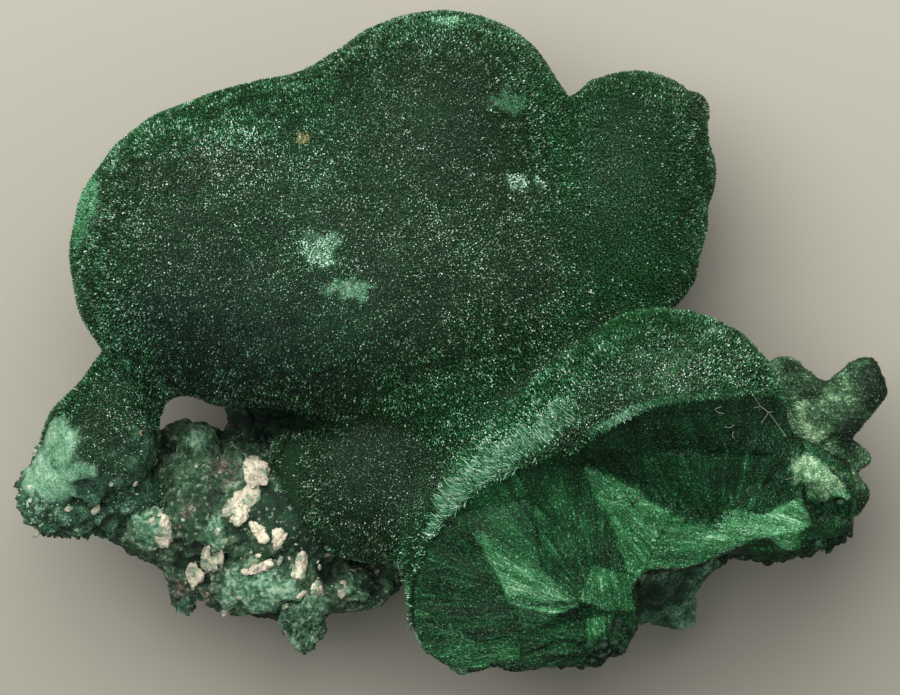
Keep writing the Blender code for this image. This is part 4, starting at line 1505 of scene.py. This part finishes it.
fanNormal = cornerNormals(fanPoints, fanFaces)
whole = (1 - easeBetween(0.1, 0.6, fanBroken)) * offSpray * velvetSide(fanPoints[:, 0], fanPoints[:, 1])
whole = whole * easeBetween(9.0, 13.0, fanPoints[:, 2]) * (massField(fanPoints) > -0.3)
whole = whole * (0.3 + 0.7 * easeBetween(-0.3, 0.2, fanNormal[:, 2]))
nearRim = lineShare(fanPoints, needles["rimLine"], 1.15) * (1 - 0.6 * easeBetween(7.0, 11.5, fanPoints[:, 0]))
count, at, roots = pileOn("fan", fanPoints, fanFaces, whole)
rimShare = at(nearRim)
ways = leaning(at(fanNormal) + rimShare[:, None] * needles["rimWay"], piles["fan"]["lean"])
tuft = grainNoise(roots, needles["tuft"], 135)[2]
tones, columns = pileReading(roots, ways)
# painted sheen and glints: the needles along the rim are paler, and some much paler
tones = tones + rimShare * (0.13 + 0.20 * tuft + 0.46 * (chance.random(count) < 0.17))
columns = np.where(chance.random(count) < 0.2 + 0.75 * rimShare, 1.0, columns)
lengths = between("fan", "length", count) * (1 + 0.3 * rimShare)
needlePiece("fanPile", roots, ways, lengths, between("fan", "width", count), tones, columns, True)

nearSpikes = lineShare(fanPoints, needles["spikeLine"], 1.0) ** 2
count, at, roots = pileOn("spikes", fanPoints, fanFaces, whole * nearSpikes)
tuft = grainNoise(roots, needles["tuft"], 136)[2]
ways = leaning(at(fanNormal) + needles["spikeWay"], piles["spikes"]["lean"])
# painted glints: a few spikes are far paler than the rest
tones = 0.29 + 0.24 * tuft + 0.72 * chance.random(count) ** 2.6
lengths = between("spikes", "length", count) * (0.7 + 0.7 * tuft)
widths = between("spikes", "width", count)
needlePiece("rimSpikes", roots, ways, lengths, widths, tones, np.ones(count), False)

# the broken edge of the crest catches the light, painted as pale splinters, most of all at its left end
brightCrest = np.exp(-(((fanPoints[:, 0] - 14.3) / 2.2) ** 2))
crest = lineShare(fanPoints, needles["crestLine"], 0.26) * (fanNormal[:, 2] > 0) * (0.5 + 1.6 * brightCrest)
count, at, roots = pileOn("crest", fanPoints, fanFaces, crest * (fanPoints[:, 2] > 15))
ways = leaning(at(fanNormal), piles["crest"]["lean"])
tones = 0.36 + 0.30 * chance.random(count) + 0.46 * at(brightCrest) * chance.random(count) ** 0.7
lengths = between("crest", "length", count)
widths = between("crest", "width", count)
needlePiece("crestSplinters", roots, ways, lengths, widths, tones, np.ones(count), False)

density = onSpray * (0.2 + 0.8 * (fanNormal[:, 2] > -0.1))
count, at, roots = pileOn("spray", fanPoints, fanFaces, density)
ways = leaning(at(fanNormal), piles["spray"]["lean"])
tones = at(sprayTone) - 0.06 + 0.12 * layeredNoise(roots, 1.5, 3, 131)
# painted glints: a few needles are much paler
tones = tones + chance.normal(0, 0.08, count) + 0.3 * (chance.random(count) < 0.06)
columns = np.where(chance.random(count) < 0.3, 1.0, 0.0)
lengths = between("spray", "length", count)
needlePiece("sprayPile", roots, ways, lengths, between("spray", "width", count), tones, columns, True)

# splinters lie along the fibres of the broken faces, and a few stray ones stand any way
count, at, roots = pileOn("splinters", fanPoints, fanFaces, fanBroken * (1 - 0.6 * paleShare))
normals = leaning(at(fanNormal), piles["splinters"]["lean"])
cells = nearestCell(roots)
ways = np.column_stack([roots[:, :2] - hearts[cells], np.zeros(count)])
ways /= np.sqrt((ways**2).sum(1))[:, None] + 1e-9
ways = ways - (ways * normals).sum(1)[:, None] * normals + 0.03 * normals
stray = chance.random(count) < 0.22
ways = np.where(stray[:, None], leaning(normals, 0.9), leaning(ways, 0.05))
lengths = np.where(stray, chance.uniform(0.06, 0.16, count), between("splinters", "length", count))
bundle = softNoise(fibreSheet[cells] * [2.0, 3.0, 1.0], 0.5, 143)
ownTone = at(fanTone)
tones = 0.85 * ownTone + 0.12 * layeredNoise(roots, 0.9, 3, 141) + 0.19 * bundle
tones = tones + np.abs(chance.normal(0, 1, count)) * (0.04 + 0.06 * ownTone)
# painted sparkle: the stray splinters are paler
tones = tones + stray * 0.6 * chance.random(count) ** 1.6
lengths = lengths * (0.4 + 0.9 * ownTone)
widths = between("splinters", "width", count) * (1 + 0.5 * stray)
columns = np.where(chance.random(count) < 0.88, 1.0, 0.0)
needlePiece("faceSplinters", roots, ways, lengths, widths, tones, columns, False)


# small lumps: their shades from dark green over pale to ochre and brown, and how many
crumbs = {
    "shades": [
        (0.0, (0.004, 0.014, 0.007)), (0.28, (0.015, 0.050, 0.024)), (0.45, (0.045, 0.125, 0.068)),
        (0.62, (0.180, 0.290, 0.180)), (0.72, (0.420, 0.430, 0.330)), (0.76, (0.360, 0.330, 0.160)),
        (0.82, (0.340, 0.300, 0.130)), (0.88, (0.150, 0.110, 0.075)), (1.0, (0.04, 0.03, 0.024)),
    ],
    "rock": 1100,
    "foot": 600,
    "edge": 900,
    "perGrain": 8,
    # little heaps of one shade: place, reach, count, shade
    "heaps": [((-12.75, 17.2), 0.42, 170, 0.79), ((-26.35, -7.4), 0.35, 30, 0.87),
              ((-28.2, -13.2), 1.0, 60, 0.50), ((-34.4, -14.4), 1.3, 110, 0.60)],
}


def crumbLook():
    look = Look("loose crumbs", Roughness=0.7, Specular_IOR_Level=0.35)
    speck = look.noise(look.place(), 3600.0)
    shade = look.reading("shade") + (speck - 0.5) * 0.10
    look.set("Base Color", look.ramp(shade, crumbs["shades"]))
    look.bump(speck, 0.0002, 0.6)
    return look.material


def ballOfTwelve():
    # the twelve corners (0, +-1, +-g) and their turns, and the twenty faces between near ones
    g = (1 + 5**0.5) / 2
    signs = [(a, b) for a in (1, -1) for b in (1, -1)]
    corners = [(0, a, b * g) for a, b in signs] + [(a, b * g, 0) for a, b in signs]
    corners += [(a * g, 0, b) for a, b in signs]
    corners = np.array(corners) / np.sqrt(1 + g * g)
    near = np.linalg.norm(corners[:, None] - corners, axis=2) < 1.1
    faces = []
    for i, j, k in combinations(range(12), 3):
        if near[i, j] and near[j, k] and near[i, k]:
            out = np.cross(corners[j] - corners[i], corners[k] - corners[i]) @ corners[i]
            faces.append((i, j, k) if out > 0 else (i, k, j))
    return corners, np.array(faces)


crumbFinish = crumbLook()
ball, ballFaces = ballOfTwelve()


def crumbPiece(name, middles, sizes, shades, slot, stands):
    # each corner of each ball is pushed in or out by chance, and the ball is stretched
    count = len(middles)
    shape = ball * chance.uniform(0.62, 1.25, (count, 12, 1)) * chance.uniform(0.6, 1.2, (count, 1, 3))
    points = (np.array(middles)[:, None] + shape * np.array(sizes)[:, None, None]).reshape(-1, 3)
    faces = (np.arange(count)[:, None, None] * 12 + ballFaces).reshape(-1, 3)
    readings = {"shade": np.repeat(np.clip(shades, 0, 1), 12)}
    makePiece(name, points, faces, crumbFinish, slot, stands, smooth=False, readings=readings)


def sizesFrom(least, more, power, count):
    # many small and few large
    return least + more * chance.random(count) ** power


def rockCrumbs():
    count = int(crumbs["rock"] / coarse)
    density = easeBetween(1.0, 5.0, rockPoints[:, 2]) * (0.4 + 0.6 * upward) * (1 - 0.85 * stainAndShade["mint"])
    at = planted(rockPoints, rockFaces, density, count)
    middles = at(rockPoints)
    kind = 0.24 + 0.22 * layeredNoise(middles, 1.8, 3, 151) + chance.normal(0, 0.05, count)
    kind = np.clip(kind, 0.0, 0.60) + 0.24 * at(stainAndShade["mint"])
    kind = np.where(chance.random(count) < 0.05, chance.uniform(0.62, 0.72, count), np.minimum(kind, 0.66))
    brown = chance.random(count) < 0.04 + 0.6 * at(stainAndShade["brown"])
    kind = np.where(brown, chance.uniform(0.86, 1.0, count), kind)
    crumbPiece("rockCrumbs", middles, sizesFrom(0.07, 0.26, 2.4, count), kind, *hostRock)


def footCrumbs():
    count = int(crumbs["foot"] / coarse)
    density = lowFoot * (1 - massCrust) * (0.3 + 0.7 * (massNormal[:, 2] > -0.3))
    at = planted(massPoints, massFaces, density, count)
    middles = at(massPoints)
    kind = 0.13 + 0.22 * layeredNoise(middles, 1.6, 2, 153) + chance.normal(0, 0.05, count)
    kind = np.clip(kind + 0.30 * at(massCrust), 0, 0.62)
    kind = np.where(chance.random(count) < 0.06, chance.uniform(0.60, 0.70, count), kind)
    crumbPiece("footCrumbs", middles, sizesFrom(0.08, 0.26, 2, count), kind, *growth)


def edgeCrumbs():
    count = int(crumbs["edge"] / coarse)
    density = ragged * easeBetween(8.0, 12.0, fanPoints[:, 2]) * 0.5
    at = planted(fanPoints, fanFaces, np.maximum(density, 1.5 * darkEdge * offSpray), count)
    middles = at(fanPoints)
    kind = 0.10 + 0.10 * layeredNoise(middles, 1.6, 2, 155) + chance.normal(0, 0.08, count)
    crumbPiece("edgeCrumbs", middles, sizesFrom(0.12, 0.26, 2, count), np.clip(kind, 0, 0.5), *growth)


def grainCrumbs():
    # pale bits broken off each grain lie round it
    middles, sizes, kind = [], [], []
    for name in grainNames:
        low, high = np.array(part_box(name)) / mm
        places = (low + high)[:2] / 2 + (high - low)[:2] * chance.normal(0, 0.30, (crumbs["perGrain"], 2))
        middles += [(*place, skinHeight(*place)) for place in places]
        sizes += list(sizesFrom(0.05, 0.16, 2, len(places)))
        kind += list(chance.choice([0.72, 0.70, 0.64, 0.86], len(places)))
    crumbPiece("grainCrumbs", middles, sizes, kind, *hostRock)


def strayCrumbs():
    # small heaps of one shade lie where they fell
    middles, sizes, kind = [], [], []
    for place, reach, count, shade in crumbs["heaps"]:
        places = np.array(place) + reach * chance.normal(0, 0.6, (count, 2))
        middles += [(*place, skinTop(*place)) for place in places]
        sizes += list(chance.uniform(0.05, 0.13, count))
        kind += list(shade + chance.normal(0, 0.012, count))
    crumbPiece("strayCrumbs", middles, sizes, kind, *growth)


rockCrumbs()
footCrumbs()
edgeCrumbs()
grainCrumbs()
strayCrumbs()


# lint caught on the velvet and the broken face: the places each hair runs through, seen from above
lint = {
    "radius": 0.013,
    "lift": 0.10,
    "colour": (0.40, 0.46, 0.40),
    "hairs": [
        [(25.2, -4.4), (25.6, -5.0), (25.9, -5.4), (26.5, -5.75), (27.2, -6.7), (28.1, -7.9)],
        [(25.3, -5.4), (25.9, -5.3), (26.5, -5.8), (26.9, -5.75)],
        [(26.5, -5.8), (26.2, -6.3), (25.9, -6.7)],
        [(22.5, -5.3), (21.9, -5.5), (22.1, -5.75), (22.7, -5.9)],
        [(22.7, -7.0), (23.2, -7.1), (23.6, -6.8)],
        [(23.5, -7.4), (23.4, -7.8), (23.6, -8.0)],
        [(23.4, -13.6), (24.1, -13.3), (24.9, -12.9)],
        [(28.0, -11.5), (28.5, -11.4), (29.1, -11.1)],
        [(-17.4, 12.5), (-16.6, 12.7), (-15.8, 12.9)],
        [(-25.9, -7.0), (-25.3, -7.4), (-24.8, -7.3), (-24.6, -6.9)],
        [(-3.6, 0.3), (-3.3, -0.2), (-3.5, -0.7)],
    ],
}


def hairShell(places):
    # a round strand along the soft line through the places, just over the skin
    sides = 6  # the quads that close its two ends are those of a ring of six
    steps = np.linspace(0, len(places) - 1, 6 * len(places))
    line = np.stack([np.interp(steps, np.arange(len(places)), axis) for axis in np.array(places).T], 1)
    line[1:-1] = (line[:-2] + 2 * line[1:-1] + line[2:]) / 4
    height = np.array([skinTop(x, y) for x, y in line])
    for _ in range(4):
        edged = np.pad(height, 1, mode="edge")
        height = (edged[:-2] + 2 * height + edged[2:]) / 4
    line = np.column_stack([line, height + lint["lift"]])
    ways = np.gradient(line, axis=0)
    ways /= np.sqrt((ways**2).sum(1))[:, None]
    one, other = sideways(ways)
    turn = np.arange(sides)[:, None] * 2 * np.pi / sides
    ring = np.cos(turn) * one[:, None] + np.sin(turn) * other[:, None]
    points = (line[:, None] + lint["radius"] * ring).reshape(-1, 3)
    foot = np.array([[0, 5, 4, 3], [0, 3, 2, 1]])
    head = foot[:, ::-1] + sides * (len(line) - 1)
    return points, np.concatenate([tubeWalls(sides, len(line)), foot, head])


lintFinish = Look("lint", Base_Color=lint["colour"], Roughness=0.6).material
hairs = joined([hairShell(places) for places in lint["hairs"]])
makePiece("lintHairs", *hairs, lintFinish, *growth)
